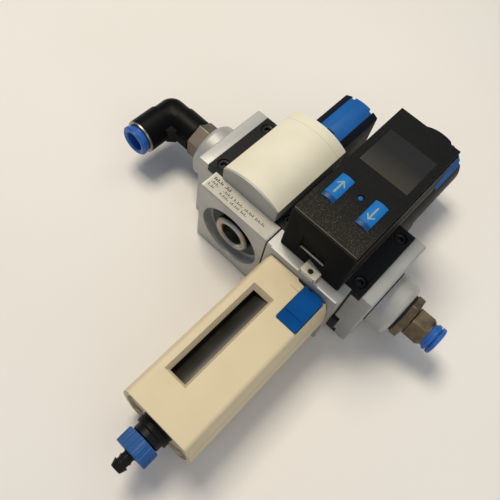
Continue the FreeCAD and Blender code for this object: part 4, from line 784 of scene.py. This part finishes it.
@dataclass
class ValveModule:
    """Cream cover, rating plate, exhaust port and the handle with its locking slide. Lengths in mm.

    Attributes:
        cover_edge_mm: rounding of the cover.
        seam_from_end_mm: how far the cover's joint line is from its upper end.
        seam_mm: width and depth of that line.
        knob_edge_mm: rounding of the handle.
        slide_edge_mm: rounding of its locking slide.
        label_edge_mm: rounding of the rating plate.
        thread_pitch: pitch of the exhaust's thread.
        bore_r: radius of the thread's crests.
        dish_shade_r: outer radius of the painted shade ring round the thread ring.
        dish_depth: depth of the recess whose floor carries that painted shade.
        first_row: how far the first row on the rating plate is from its upper end.
        row_pitch: distance between its rows.
        tick_pitch: distance between the ticks of a row.
        word_ticks: after so many places, one stays empty.
    """

    cover_edge_mm: float = 0.7
    seam_from_end_mm: float = 6.0
    seam_mm: tuple[float, float] = (0.3, 0.22)
    knob_edge_mm: float = 0.6
    slide_edge_mm: float = 0.35
    label_edge_mm: float = 0.1
    thread_pitch: float = 1.3
    bore_r: float = 6.2
    dish_shade_r: float = 15.0
    dish_depth: float = 5.0
    first_row: float = 2.1
    row_pitch: float = 2.15
    tick_pitch: float = 0.92
    word_ticks: int = 7

    def build(self) -> None:
        """Builds the valve's outer pieces."""
        soften("valve_cover", self.cover_edge_mm, self.cut_seam, segments=3)
        self.exhaust()
        soften("valve_knob", self.knob_edge_mm)
        soften("valve_lock_slide", self.slide_edge_mm)
        soften("valve_rating_plate", self.label_edge_mm)
        self.marks()

    def cut_seam(self, mesh: bmesh.types.BMesh) -> None:
        """Cuts the fine joint line across the cover near its upper end.

        Args:
            mesh: the cover's bmesh, which is changed.
        """
        low, high = corners("valve_cover")
        core = Vector(((low.x + high.x) / 2, 0, low.z - 20 * MM))

        def outer(face: bmesh.types.BMFace) -> bool:
            """Tells whether a face looks away from the module."""
            away = face.calc_center_median() - core
            away.y = 0
            return face.normal.dot(away) > 0 and face.calc_center_median().z > low.z + 0.2 * MM

        groove(mesh, 1, high.y - self.seam_from_end_mm * MM, *self.seam_mm, outer)

    def exhaust(self) -> None:
        """Builds the nickel ring with its internal thread, chamfer and outer step, and painted shade on the
        recess floor round it.
        """
        low, high = corners("exhaust_thread_ring")
        length = (high.y - low.y) * 1000
        outer = (high.x - low.x) * 500
        bore = [(self.bore_r + 0.9, 0.0)]
        for turn in range(int((length - 1.2) / self.thread_pitch)):
            h = 0.8 + turn * self.thread_pitch
            bore += [(self.bore_r, h), (self.bore_r, h + 0.25), (self.bore_r + 0.55, h + 0.75)]
        bore.append((self.bore_r, length))
        rim = [(outer - 0.6, length), (outer, length - 0.5), (outer, 0.9), (outer - 0.8, 0.05),
               (outer - 1.5, 0.0), (outer - 1.7, 0.18), (self.bore_r + 1.5, 0.18), (self.bore_r + 1.3, 0.0)]
        centre = lower_end("exhaust_thread_ring")
        turned_node("exhaust_thread_ring", bore + rim, centre, Axis.Y, PORT_NICKEL, 72)
        # A thin grey ring that paints the shade on the recess floor.
        floor = self.dish_depth - 0.1
        shade_annulus = [(outer + 0.15, floor), (self.dish_shade_r, floor), (self.dish_shade_r, self.dish_depth),
                  (outer + 0.15, self.dish_depth)]
        face = Vector((centre.x, corners("valve_body")[0].y, centre.z))
        finish_piece("exhaust_dish_painted_shade", turned(shade_annulus, face, Axis.Y, 72), DISH_SHADE_GREY, "base")

    def marks(self) -> None:
        """Builds plain ticks and dashes on the rating plate, in rows, where data would stand."""
        low, high = corners_mm("valve_rating_plate")
        # Each row: height and width of its ticks, then start and end of its words.
        rows = ((1.5, 0.62, ((1.0, 11.4),)), (1.3, 0.45, ((1.0, 6.2), (8.6, 34.0))),
                (1.3, 0.45, ((1.0, 4.8), (8.2, 25.4))))
        ticks = []
        for i, (tall, wide, words) in enumerate(rows):
            y = high.y - self.first_row - self.row_pitch * i
            for x0, x1 in words:
                for j in range(int((x1 - x0) / self.tick_pitch)):
                    if j % self.word_ticks == self.word_ticks - 1:
                        continue
                    x = low.x + x0 + j * self.tick_pitch
                    up = (tall, tall * 0.35, tall, tall * 0.7)[(j * 3 + i) % 4]
                    ticks.append(block((x, y - tall / 2, high.z - 0.01),
                                       (x + wide, y - tall / 2 + up, high.z + 0.02)))
        finish_piece("rating_plate_ticks", joined(ticks), MARK_GREY, "base")


@dataclass
class RegulatorModule:
    """Bonnet, setting knob and its locking slide.

    Attributes:
        bonnet_edge_mm: rounding of the bonnet.
        knob_edge_mm: rounding of the setting knob.
        slide_edge_mm: rounding of its locking slide.
    """

    bonnet_edge_mm: float = 0.4
    knob_edge_mm: float = 0.5
    slide_edge_mm: float = 0.3

    def build(self) -> None:
        """Builds the regulator's upper pieces."""
        soften("regulator_bonnet", self.bonnet_edge_mm)
        soften("regulator_knob", self.knob_edge_mm)
        soften("regulator_lock_slide", self.slide_edge_mm)


@dataclass
class BowlUnit:
    """Guard with its sight window, dark bowl, release slide and drain. Lengths in mm.

    Attributes:
        guard_edge_mm: rounding of the guard.
        bowl_edge_mm: rounding of the bowl.
        slide_edge_mm: rounding of the release slide.
        seam_from_middle: how far its mould line lies in front of its middle.
        seam_mm: width and depth of that line.
        slide_corner_mm: radius of the release slide's outer upper corner.
        lug_from_middle: distance of the four lugs from the guard's middle, along X and Z.
        ridges: broad ridges round the drain nut.
        rib_scales: the nut's radius at the places from one ridge to the next.
        nut_chamfer: height of the chamfer at both ends of the nut.
        nut_end_scale: size of the nut's end faces.
    """

    guard_edge_mm: float = 0.5
    bowl_edge_mm: float = 0.4
    slide_edge_mm: float = 0.3
    seam_from_middle: float = 9.0
    seam_mm: tuple[float, float] = (0.35, 0.25)
    slide_corner_mm: float = 2.8
    lug_from_middle: tuple[float, float] = (12.2, 11.6)
    ridges: int = 20
    rib_scales: tuple[float, ...] = (1.0, 1.0, 0.97, 0.98, 0.99, 0.98, 0.99, 0.97)
    nut_chamfer: float = 0.25
    nut_end_scale: float = 0.96

    def build(self) -> None:
        """Builds the pieces of the bowl unit."""
        soften("bowl_guard", self.guard_edge_mm, self.cut_side_seam, segments=3)
        soften("bowl", self.bowl_edge_mm)
        soften("bowl_release_slide", self.slide_edge_mm, self.round_slide)
        self.latch()
        self.end_lugs()
        self.drain_nut()
        self.drain_stem()
        self.drain_neck()

    def cut_side_seam(self, mesh: bmesh.types.BMesh) -> None:
        """Cuts the mould line along both sides of the guard.

        Args:
            mesh: the guard's bmesh, which is changed.
        """
        low, high = corners("bowl_guard")
        mid_x = (low.x + high.x) / 2
        half = (high.x - low.x) / 2

        def side(face: bmesh.types.BMFace) -> bool:
            """Tells whether a face is on the guard's outer side wall."""
            c = face.calc_center_median()
            outward = face.normal.x * (c.x - mid_x) > 0
            return outward and abs(c.x - mid_x) > half - 2.5 * MM and c.y < high.y - 9 * MM

        groove(mesh, 2, (low.z + high.z) / 2 + self.seam_from_middle * MM, *self.seam_mm, side)

    def round_slide(self, mesh: bmesh.types.BMesh) -> None:
        """Rounds the slide's outer upper corner by cutting it along an arc's tangents.

        Args:
            mesh: the slide's bmesh, which is changed.
        """
        high = corners("bowl_release_slide")[1]
        radius = self.slide_corner_mm * MM
        centre = Vector((high.x - radius, high.y - radius, high.z))
        for degrees in range(9, 90, 12):
            angle = math.radians(degrees)
            outward = Vector((math.cos(angle), math.sin(angle), 0))
            cut = bmesh.ops.bisect_plane(mesh, geom=mesh.verts[:] + mesh.edges[:] + mesh.faces[:],
                                         plane_co=centre + outward * radius, plane_no=outward,
                                         clear_outer=True)
            rim = [part for part in cut["geom_cut"] if isinstance(part, bmesh.types.BMEdge)]
            bmesh.ops.holes_fill(mesh, edges=rim, sides=0)
        bmesh.ops.recalc_face_normals(mesh, faces=mesh.faces)

    def latch(self) -> None:
        """Builds the painted shade of the catch and the scoop at the slide's upper end, and of the tongue's
        slits beside it.
        """
        slide_low, slide_high = corners_mm("bowl_release_slide")
        face = Vector((0, corners_mm("regulator_body")[0].y - 0.3, corners_mm("bowl_guard")[1].z))
        x, y = slide_low.x, face.y
        # A dark navy slab on the guard: painted shade in the catch's notch.
        catch = [(x - 4.5, y), (x - 4.3, y - 0.55), (x - 3.4, y - 0.95), (x - 1.0, y - 1.15),
                 (x - 0.2, y - 1.25), (x - 0.2, y)]
        finish_piece("bowl_latch_painted_shade", slab(catch, face.z - 0.6, face.z + 0.04), SHADOW_NAVY,
                     "bowl_unit")
        y = slide_high.y
        # A dark navy slab on the slide: painted shade in its scoop.
        scoop = [(x + 0.9, y - 0.05), (x + 1.2, y - 0.6), (x + 2.0, y - 1.0), (x + 3.2, y - 1.05),
                 (x + 4.0, y - 0.7), (x + 4.4, y - 0.05)]
        finish_piece("release_slide_scoop_shade", slab(scoop, slide_high.z - 0.5, slide_high.z + 0.02),
                     SHADOW_NAVY, "bowl_release")
        # Brown lines on the surface: painted shade where the slits are.
        slits = [block((x - 5.2, face.y - 4.95, face.z - 0.2), (x - 0.3, face.y - 4.75, face.z + 0.02)),
                 block((x - 0.32, face.y - 4.95, face.z - 0.2), (x - 0.12, face.y - 1.2, face.z + 0.02))]
        finish_piece("tongue_slit_shade", joined(slits), SLIT_BROWN, "bowl_unit")

    def end_lugs(self) -> None:
        """Builds four small cream lugs inside the rim of the guard's lower end."""
        low, high = corners_mm("bowl_guard")
        pieces = []
        for sx, sz in ((-1, -1), (-1, 1), (1, -1), (1, 1)):
            x = (low.x + high.x) / 2 + sx * self.lug_from_middle[0]
            z = (low.z + high.z) / 2 + sz * self.lug_from_middle[1]
            pieces.append(block((x - 1.6, low.y + 0.35, z - 1.1), (x + 1.6, low.y + 1.7, z + 1.1), 0.3, 2))
        finish_piece("guard_end_lugs", joined(pieces), GUARD_CREAM, "bowl_unit")

    def drain_nut(self) -> None:
        """Builds the drain nut: broad ridges with fine ribs between them, chamfered at both ends."""
        low, high = corners_mm("drain_nut")
        outer = (high.x - low.x) / 2
        places = len(self.rib_scales)
        mesh = bmesh.new()
        bmesh.ops.create_circle(mesh, cap_ends=True, segments=self.ridges * places,
                                radius=outer * MM * self.nut_end_scale)
        ring = sorted(mesh.verts, key=lambda v: math.atan2(v.co.y, v.co.x))
        for place, depth in enumerate(self.rib_scales):
            bmesh.ops.scale(mesh, vec=(depth, depth, 1), verts=ring[place::places])
        faces = list(mesh.faces)
        side = high.y - low.y - 2 * self.nut_chamfer
        for scale, rise in ((1 / self.nut_end_scale, self.nut_chamfer), (1.0, side),
                            (self.nut_end_scale, self.nut_chamfer)):
            grown = bmesh.ops.extrude_face_region(mesh, geom=faces)
            verts = [v for v in grown["geom"] if isinstance(v, bmesh.types.BMVert)]
            faces = [f for f in grown["geom"] if isinstance(f, bmesh.types.BMFace)]
            bmesh.ops.translate(mesh, vec=(0, 0, rise * MM), verts=verts)
            bmesh.ops.scale(mesh, vec=(scale, scale, 1), verts=verts)
        bmesh.ops.recalc_face_normals(mesh, faces=mesh.faces)
        bmesh.ops.transform(mesh, matrix=Matrix.Translation(lower_end("drain_nut")) @ Axis.Y.turn(),
                            verts=mesh.verts)
        finish_piece("drain_nut_dressed", mesh, NUT_BLUE, "drain_knob", ["drain_nut"], 25)

    def drain_stem(self) -> None:
        """Builds the hollow hose barb with its steps."""
        low, high = corners_mm("drain_stem")
        length = high.y - low.y
        bore, thin, wide, tip = 1.4, 2.6, 3.1, 3.35
        profile = [(bore, 0), (thin - 0.5, 0), (thin - 0.2, 0.2), (tip, 2.9), (tip, 3.2), (thin, 3.25),
                   (thin, 4.2), (3.0, 5.4), (3.0, 5.7), (thin, 5.75), (thin, 7.2), (wide, 7.3),
                   (wide, length), (bore, length)]
        turned_node("drain_stem", profile, lower_end("drain_stem"), Axis.Y, BLACK, 40)

    def drain_neck(self) -> None:
        """Builds the black drain fitting with its stepped and grooved neck."""
        low, high = corners_mm("drain_body")
        length = high.y - low.y
        nut_top = corners_mm("drain_nut")[1].y - low.y
        neck_top = corners_mm("bowl")[0].y - low.y - 0.05
        profile = [(3.2, 0), (5.15, 0), (5.15, nut_top + 0.3), (6.2, nut_top + 0.35), (6.6, nut_top + 0.7),
                   (6.6, nut_top + 3.3), (7.5, nut_top + 3.4), (7.8, nut_top + 3.8), (7.8, nut_top + 6.0),
                   (7.4, nut_top + 6.2), (7.4, nut_top + 6.8), (7.8, nut_top + 7.0), (7.8, neck_top),
                   (4.0, neck_top), (4.0, length), (3.2, length)]
        turned_node("drain_body", profile, lower_end("drain_body"), Axis.Y, BLACK, 56)


@dataclass
class Springs:
    """The two springs, copied from the model, each with a mesh of its own.

    Attributes:
        regulating_travel_mm: how far the regulating spring's pressed end moves. Not used.
        poppet_travel_mm: how far the poppet spring's pressed end moves. Not used.
    """

    regulating_travel_mm: float = 6.1
    poppet_travel_mm: float = 1.52

    def build(self) -> None:
        """Builds both springs."""
        self.spring("regulating_spring")
        self.spring("poppet_spring")

    def spring(self, node: str) -> None:
        """Builds a spring as a dressed copy of the CAD node, with a mesh of its own.

        Args:
            node: the CAD node.
        """
        coil = finish_piece(node + "_coil", cad_copy(node), ZINC, BODY_OF[node], [node],
                            60.0)
        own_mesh(coil)


@dataclass
class Fittings:
    """Inlet stud and elbow, outlet reducer and push-in body, and both release rings. Lengths in mm.

    Attributes:
        hex_edge_mm: rounding of the hexagons.
        elbow_edge_mm: rounding of the elbow.
        web_mm: how far the web reaches along each leg of the elbow.
        web_root: how deep it is rooted in the legs.
        web_half_width: half of its width.
        web_overlap: how far its inner corner lies inside the legs' skin.
    """

    hex_edge_mm: float = 0.45
    elbow_edge_mm: float = 0.35
    web_mm: float = 3.3
    web_root: float = 2.2
    web_half_width: float = 4.5
    web_overlap: float = 0.4

    def build(self) -> None:
        """Builds the fittings."""
        soften("inlet_stud", self.hex_edge_mm)
        soften("outlet_reducer", self.hex_edge_mm)
        soften("outlet_fitting_body", self.hex_edge_mm)
        soften("inlet_elbow_body", self.elbow_edge_mm)
        self.elbow_web()
        self.clamp_ring()
        self.elbow_release()
        self.outlet_release()

    def elbow_web(self) -> None:
        """Builds the moulded web that stiffens the elbow's inner corner."""
        low, high = corners_mm("inlet_elbow_body")
        leg = high.z - low.z
        reach, root = self.web_mm, self.web_root
        x = low.x + leg - self.web_overlap
        y = high.y - leg + self.web_overlap
        z = (low.z + high.z) / 2
        outline = [(x - root, y + root), (x - root, y - reach), (x, y - reach), (x + reach, y),
                   (x + reach, y + root)]
        finish_piece("inlet_elbow_web", slab(outline, z - self.web_half_width, z + self.web_half_width),
                     ELBOW_BLACK, BODY_OF["inlet_elbow_body"])

    def clamp_ring(self) -> None:
        """Builds the rolled metal ring at the elbow's mouth."""
        low, high = corners_mm("inlet_clamp_ring")
        outer = (high.x - low.x) / 2
        profile = [(7.2, 0.1), (7.5, 0), (outer - 0.4, 0), (outer - 0.1, 0.12), (outer, 0.4), (outer, 1.0),
                   (7.2, 1.0)]
        turned_node("inlet_clamp_ring", profile, lower_end("inlet_clamp_ring"), Axis.Y, RING_NICKEL, 72)

    def elbow_release(self) -> None:
        """Builds the elbow's release ring: stepped flange, rounded rim and a funnel into the bore."""
        low, high = corners_mm("inlet_release_ring")
        outer, length = (high.x - low.x) / 2, high.y - low.y
        bore = 5.12
        profile = [(bore, 0.9), (bore + 0.5, 0.35), (bore + 1.1, 0.08), (outer - 1.2, 0), (outer - 0.7, 0.3),
                   (outer - 0.55, 0.9), (outer, 1.0), (outer, 2.2), (outer - 0.25, 2.6), (7.0, 2.6),
                   (7.0, length), (bore, length)]
        turned_node("inlet_release_ring", profile, lower_end("inlet_release_ring"), Axis.Y, RING_BLUE, 72)

    def outlet_release(self) -> None:
        """Builds the outlet's release ring: a base band, a dark groove and an outer rim."""
        low, high = corners_mm("outlet_release_ring")
        bore, outer, flange = 4.12, 6.95, 4.2
        base = high.x - low.x - flange
        profile = [(bore, 0), (6.1, 0), (6.1, base), (outer - 0.35, base), (outer - 0.1, base + 0.2),
                   (outer - 0.1, base + 1.5), (5.7, base + 1.6), (5.7, base + 2.3), (outer, base + 2.4),
                   (outer, base + 3.8), (outer - 0.4, base + 4.15), (bore + 0.9, base + flange),
                   (bore, base + 3.5)]
        centre = Vector((low.x, (low.y + high.y) / 2, (low.z + high.z) / 2)) * MM
        turned_node("outlet_release_ring", profile, centre, Axis.X, RING_BLUE, 64)


@dataclass
class Arrow:
    """A plain straight arrow in mm, centred on its middle.

    Attributes:
        length: from tip to tail.
        head_w: width of the head.
        head_l: how far the head's outer corners lie behind the tip.
        shaft_w: width of the shaft.
        barb: thickness of the head's two strokes.
        fork: where the strokes meet the shaft, from the tip.
    """

    length: float = 7.4
    head_w: float = 4.3
    head_l: float = 2.5
    shaft_w: float = 0.8
    barb: float = 0.5
    fork: float = 1.45

    def outline(self, centre: tuple[float, float], up: bool) -> list[tuple[float, float]]:
        """Draws the arrow round a centre.

        Args:
            centre: its middle, along X and Y.
            up: True for a tip towards +Y.

        Returns:
            Its corners in order.
        """
        h, w, s = self.length / 2, self.head_w / 2, self.shaft_w / 2
        neck = h - self.head_l
        points = [(0, h), (-w, neck), (-w + self.barb, neck - self.barb), (-s, h - self.fork), (-s, -h),
                  (s, -h), (s, h - self.fork), (w - self.barb, neck - self.barb), (w, neck)]
        sign = 1 if up else -1
        return [(centre[0] + sign * x, centre[1] + sign * y) for x, y in points]


@dataclass
class Sensor:
    """Sensor housing with its front, window, crowned arrow buttons and round edit button, in mm.

    Attributes:
        case_edge_mm: rounding of the housing.
        face_edge_mm: rounding of the front.
        window_edge_mm: rounding of the display window.
        plate_edge_mm: rounding of the mounting plate.
        crown_mm: how much lower a button's sides are than its crest.
        slope_mm: length of the slope at a button's lower end.
        slope_drop: how much lower that slope ends.
        button_inset: how far a button's cap is inside the solid's outline.
        cap_depth: height of a button's skirt.
        print_mm: half the thickness of a printed arrow.
        arrow_slices: strips that an arrow is cut into, so that it follows the crown.
        tab_corner_mm: radius of the screw tab's corners.
        recess_mm: left and right side of the recess in the lower end.
        recess_floor: height of its lower side in the solid, from the housing's back.
        recess_lift_mm: how much higher it sits here.
        recess_skin: how near the housing's lower end the corners lie that are lifted.
        recess_heights: lowest and highest place where they are looked for, from the housing's back.
        tab_hole: middle of the tab's hole along X, and along Y from the tab's end.
        arrow: the sign on both buttons.
    """

    case_edge_mm: float = 0.55
    face_edge_mm: float = 0.45
    window_edge_mm: float = 0.12
    plate_edge_mm: float = 0.3
    crown_mm: float = 0.7
    slope_mm: float = 1.6
    slope_drop: float = 0.5
    button_inset: float = 0.25
    cap_depth: float = 5.0
    print_mm: float = 0.03
    arrow_slices: int = 8
    tab_corner_mm: float = 1.3
    recess_mm: tuple[float, float] = (12.4, 25.6)
    recess_floor: float = 4.0
    recess_lift_mm: float = 4.4
    recess_skin: float = 1.2
    recess_heights: tuple[float, float] = (2.0, 16.0)
    tab_hole: tuple[float, float] = (22.65, 2.4)
    arrow: Arrow = field(default_factory=Arrow)

    def build(self) -> None:
        """Builds the sensor's outer pieces."""
        soften("sensor_case", self.case_edge_mm, self.lift_recess)
        soften("sensor_face", self.face_edge_mm)
        soften("display_window", self.window_edge_mm)
        soften("sensor_mounting_plate", self.plate_edge_mm, self.round_tab)
        self.button("up_button", "button_up", True)
        self.button("down_button", "button_down", False)
        self.edit_button()
        self.painted_ledge_highlight()
        self.painted_edge_sheen()
        self.tab_rim()

    def lift_recess(self, mesh: bmesh.types.BMesh) -> None:
        """Sets the recess in the lower end at the height of its painted highlight strip.

        Args:
            mesh: the housing's bmesh, which is changed.
        """
        low = corners("sensor_case")[0]
        left, right = self.recess_mm
        bottom, top = self.recess_heights
        inside = [v for v in mesh.verts
                  if v.co.y < low.y + self.recess_skin * MM
                  and left - 0.2 < v.co.x / MM < right + 0.2
                  and low.z + bottom * MM < v.co.z < low.z + top * MM]
        bmesh.ops.translate(mesh, vec=(0, 0, self.recess_lift_mm * MM), verts=inside)

    def round_tab(self, mesh: bmesh.types.BMesh) -> None:
        """Rounds the two outer corners of the screw tab.

        Args:
            mesh: the mounting plate's bmesh, which is changed.
        """
        low = corners("sensor_mounting_plate")[0]
        tall = [e for e in mesh.edges if all(v.co.y < low.y + 0.1 * MM for v in e.verts)
                and abs(e.verts[0].co.z - e.verts[1].co.z) > 1.0 * MM
                and abs(e.verts[0].co.x - e.verts[1].co.x) < 0.1 * MM]
        bmesh.ops.bevel(mesh, geom=tall, offset=self.tab_corner_mm * MM, offset_type="OFFSET",
                        segments=5, profile=0.5, affect="EDGES", material=-1)

    def crowned(self, x0: float, x1: float, y0: float, top: float, shape: bmesh.types.BMesh) -> None:
        """Drapes a flat mesh over the crown of a button: arched across, sloping at its lower end.

        Args:
            x0: the button's left side in mm.
            x1: its right side.
            y0: its lower end.
            top: height of the crest.
            shape: flat mesh in metres whose vertices are moved.
        """
        for v in shape.verts:
            across = (v.co.x / MM - (x0 + x1) / 2) / ((x1 - x0) / 2)
            down = max(0.0, 1 - (v.co.y / MM - y0) / self.slope_mm)
            v.co.z += (top - self.crown_mm * across ** 2 - self.slope_drop * down) * MM

    def button(self, node: str, body: str, up: bool) -> None:
        """Builds a crowned button and the pale arrow draped on it.

        Args:
            node: the CAD button.
            body: the body it rides on.
            up: True for the arrow that points towards +Y.
        """
        low, high = corners_mm(node)
        inset = self.button_inset
        x0, x1, y0, y1 = low.x + inset, high.x - inset, low.y + inset, high.y - inset
        top = high.z - 0.05
        cap = bmesh.new()
        bmesh.ops.create_grid(cap, x_segments=12, y_segments=24, size=0.5)
        bmesh.ops.scale(cap, vec=((x1 - x0) * MM, (y1 - y0) * MM, 1), verts=cap.verts)
        bmesh.ops.translate(cap, vec=((x0 + x1) / 2 * MM, (y0 + y1) / 2 * MM, 0), verts=cap.verts)
        self.crowned(x0, x1, y0, top, cap)
        rim = [e for e in cap.edges if e.is_boundary]
        skirt = bmesh.ops.extrude_edge_only(cap, edges=rim)["geom"]
        for part in skirt:
            if isinstance(part, bmesh.types.BMVert):
                part.co.z = (top - self.cap_depth) * MM
        bmesh.ops.contextual_create(cap, geom=[e for e in cap.edges if e.is_boundary])
        bmesh.ops.recalc_face_normals(cap, faces=cap.faces)
        finish_piece(node + "_cap", cap, BUTTON_BLUE, body, [node], 30)
        outline = self.arrow.outline(((x0 + x1) / 2, (y0 + y1) / 2 + 0.4), up)
        sign = slab(outline, -self.print_mm, self.print_mm)
        for i in range(1, self.arrow_slices):
            x = x0 + (x1 - x0) * i / self.arrow_slices
            bmesh.ops.bisect_plane(sign, geom=list(sign.verts) + list(sign.edges) + list(sign.faces),
                                   dist=1e-7, plane_co=(x * MM, 0, 0), plane_no=(1, 0, 0))
        self.crowned(x0, x1, y0, top, sign)
        finish_piece(node + "_arrow", sign, ARROW_PALE, body)

    def edit_button(self) -> None:
        """Builds the small round button with its domed top."""
        low, high = corners("edit_button")
        centre = Vector(((low.x + high.x) / 2, (low.y + high.y) / 2, high.z))
        profile = [(0.01, 0), (0.5, -0.03), (0.9, -0.12), (1.12, -0.3), (1.2, -0.6), (1.2, -6.4),
                   (0.01, -6.4)]
        finish_piece("edit_button_cap", turned(profile, centre, Axis.Z, 32), EDIT_BLUE, "button_edit",
                     ["edit_button"])

    def painted_ledge_highlight(self) -> None:
        """Builds the pale strip of painted highlight along the bottom of the recess in the sensor's lower
        end.
        """
        low = corners_mm("sensor_case")[0]
        z = low.z + self.recess_floor + self.recess_lift_mm
        mesh = block((self.recess_mm[0] + 0.6, low.y + 0.02, z - 0.05),
                     (self.recess_mm[1] + 0.6, low.y + 0.9, z + 0.22), 0.08, 2)
        finish_piece("sensor_ledge_painted_highlight", mesh, LABEL_AND_HIGHLIGHT, "base")

    def painted_edge_sheen(self) -> None:
        """Builds the dull olive lines of painted sheen along the front's edge and the housing's flank."""
        low, high = corners_mm("sensor_case")
        face_low, face_high = corners_mm("sensor_face")
        lines = [block((face_low.x + 0.3, face_low.y - 0.02, face_high.z - 0.28),
                       (face_high.x - 0.3, face_low.y + 0.2, face_high.z + 0.01)),
                 block((high.x - 0.2, low.y + 0.5, face_low.z - 0.75),
                       (high.x + 0.03, high.y - 0.6, face_low.z - 0.35)),
                 block((high.x - 0.2, low.y + 0.5, low.z + 4.0),
                       (high.x + 0.05, high.y - 0.6, low.z + 5.3))]
        finish_piece("sensor_painted_edge_sheen", joined(lines), EDGE_SHEEN, "base")

    def tab_rim(self) -> None:
        """Builds the countersunk rim of the screw tab's hole and the dark screw in it."""
        low = corners_mm("sensor_mounting_plate")[0]
        hole = Vector((self.tab_hole[0], low.y + self.tab_hole[1], low.z + 2.75)) * MM
        rim = [(1.2, -0.75), (1.62, 0.04), (1.95, 0.05), (1.95, -0.1), (1.34, -0.9), (1.2, -0.9)]
        finish_piece("tab_countersink", turned(rim, hole, Axis.Z, 36), COVER_CREAM, "base")
        screw = [(0.01, -0.95), (0.5, -0.95), (0.55, -0.75), (1.1, -0.8), (1.22, -1.0), (1.22, -2.4),
                 (0.01, -2.4)]
        finish_piece("tab_screw", turned(screw, hole, Axis.Z, 36), SCREW_BLACK, "base")


def dress_cad(nodes: dict[str, bpy.types.Object]) -> None:
    """Gives every CAD node the material of its finish.

    Args:
        nodes: CAD nodes by name.
    """
    for name, obj in nodes.items():
        material = CAD_FINISH[name].material()
        for held in obj.material_slots:
            held.material = material
        if not obj.material_slots:
            obj.data.materials.append(material)


# ---- surroundings -----------------------------------------------------------------------------
@dataclass
class Studio:
    """Floor, lights and camera.

    Attributes:
        floor_half: half the floor's side in metres.
        floor_drop: how far it lies under the unit in metres.
        room_tint: sRGB hex of the light from all round.
        room_strength: its strength.
        focal_mm: the lens.
        eye: the camera's place in metres.
        look: the way it looks.
        top: the way that is up in its view.
    """

    floor_half: float = 3.0
    floor_drop: float = 0.0002
    room_tint: str = "D2DEF0"
    room_strength: float = 0.27
    focal_mm: float = 40.18
    eye: tuple[float, float, float] = (0.050554, -0.133047, 0.256388)
    look: tuple[float, float, float] = (-0.22321, 0.39921, -0.88927)
    top: tuple[float, float, float] = (-0.65053, 0.61841, 0.44090)

    def build(self) -> None:
        """Builds the surroundings."""
        self.floor()
        self.world()
        self.light("key", (-0.36, 0.06, 0.93), (0.0, -0.02, 0.02), 0.34, 7.5, "FFF4E3")
        self.light("back", (-0.03, 0.26, 0.46), (0.01, -0.02, 0.05), 0.26, 0.25, "FFFFFF")
        self.light("fill", (0.5, -0.1, 0.4), (0.02, -0.02, 0.02), 0.6, 1.0, "FBF3EA")
        self.light("front", (0.1, -0.6, 0.35), (0.0, -0.02, 0.02), 0.5, 0.45, "C8D6FF")
        self.camera()

    def floor(self) -> None:
        """Builds the plain pale floor."""
        mesh = bmesh.new()
        bmesh.ops.create_grid(mesh, x_segments=1, y_segments=1, size=self.floor_half)
        data = bpy.data.meshes.new("floor")
        mesh.to_mesh(data)
        mesh.free()
        obj = bpy.data.objects.new("floor", data)
        obj.location.z = -self.floor_drop
        bpy.context.scene.collection.objects.link(obj)
        data.materials.append(FLOOR_PALE.material())

    def world(self) -> None:
        """Lights the scene evenly from all round."""
        world = bpy.data.worlds.new("soft_room")
        bpy.context.scene.world = world
        world.use_nodes = True
        back = world.node_tree.nodes["Background"]
        back.inputs["Color"].default_value = linear(self.room_tint)
        back.inputs["Strength"].default_value = self.room_strength

    def light(self, name: str, place: Sequence[float], target: Sequence[float], size: float,
              power: float, colour: str) -> None:
        """Adds a square soft lamp aimed at a point.

        Args:
            name: the lamp's name.
            place: its place in metres.
            target: the point it is aimed at.
            size: its side in metres.
            power: its power in watts.
            colour: sRGB hex.
        """
        lamp = bpy.data.lights.new(name, "AREA")
        lamp.size = size
        lamp.energy = power
        lamp.color = linear(colour)[:3]
        obj = bpy.data.objects.new(name, lamp)
        obj.location = place
        aim = Vector(target) - Vector(place)
        obj.rotation_euler = aim.to_track_quat("-Z", "Y").to_euler()
        bpy.context.scene.collection.objects.link(obj)

    def camera(self) -> None:
        """Adds the camera, at its place and turn."""
        lens = bpy.data.cameras.new("camera")
        lens.lens = self.focal_mm
        lens.sensor_width = 36.0
        lens.clip_start = 0.01
        obj = bpy.data.objects.new("camera", lens)
        forward, up = Vector(self.look).normalized(), Vector(self.top).normalized()
        right = forward.cross(up).normalized()
        turn = Matrix((right, right.cross(forward), -forward)).transposed().to_4x4()
        obj.matrix_world = Matrix.Translation(self.eye) @ turn
        bpy.context.scene.collection.objects.link(obj)
        bpy.context.scene.camera = obj


def main() -> None:
    """Builds the dressed unit and its surroundings."""
    logging.basicConfig(level=logging.INFO, format="%(name)s %(message)s")
    bpy.context.scene.view_settings.view_transform = "Standard"
    Studio().build()
    dress_cad(NODES)
    for assembly in (Castings(), ConnectorFrames(), ValveModule(), RegulatorModule(), BowlUnit(),
                     Springs(), Fittings(), Sensor()):
        LOG.info("building %s", type(assembly).__name__)
        assembly.build()


if __name__ == "__main__":
    main()
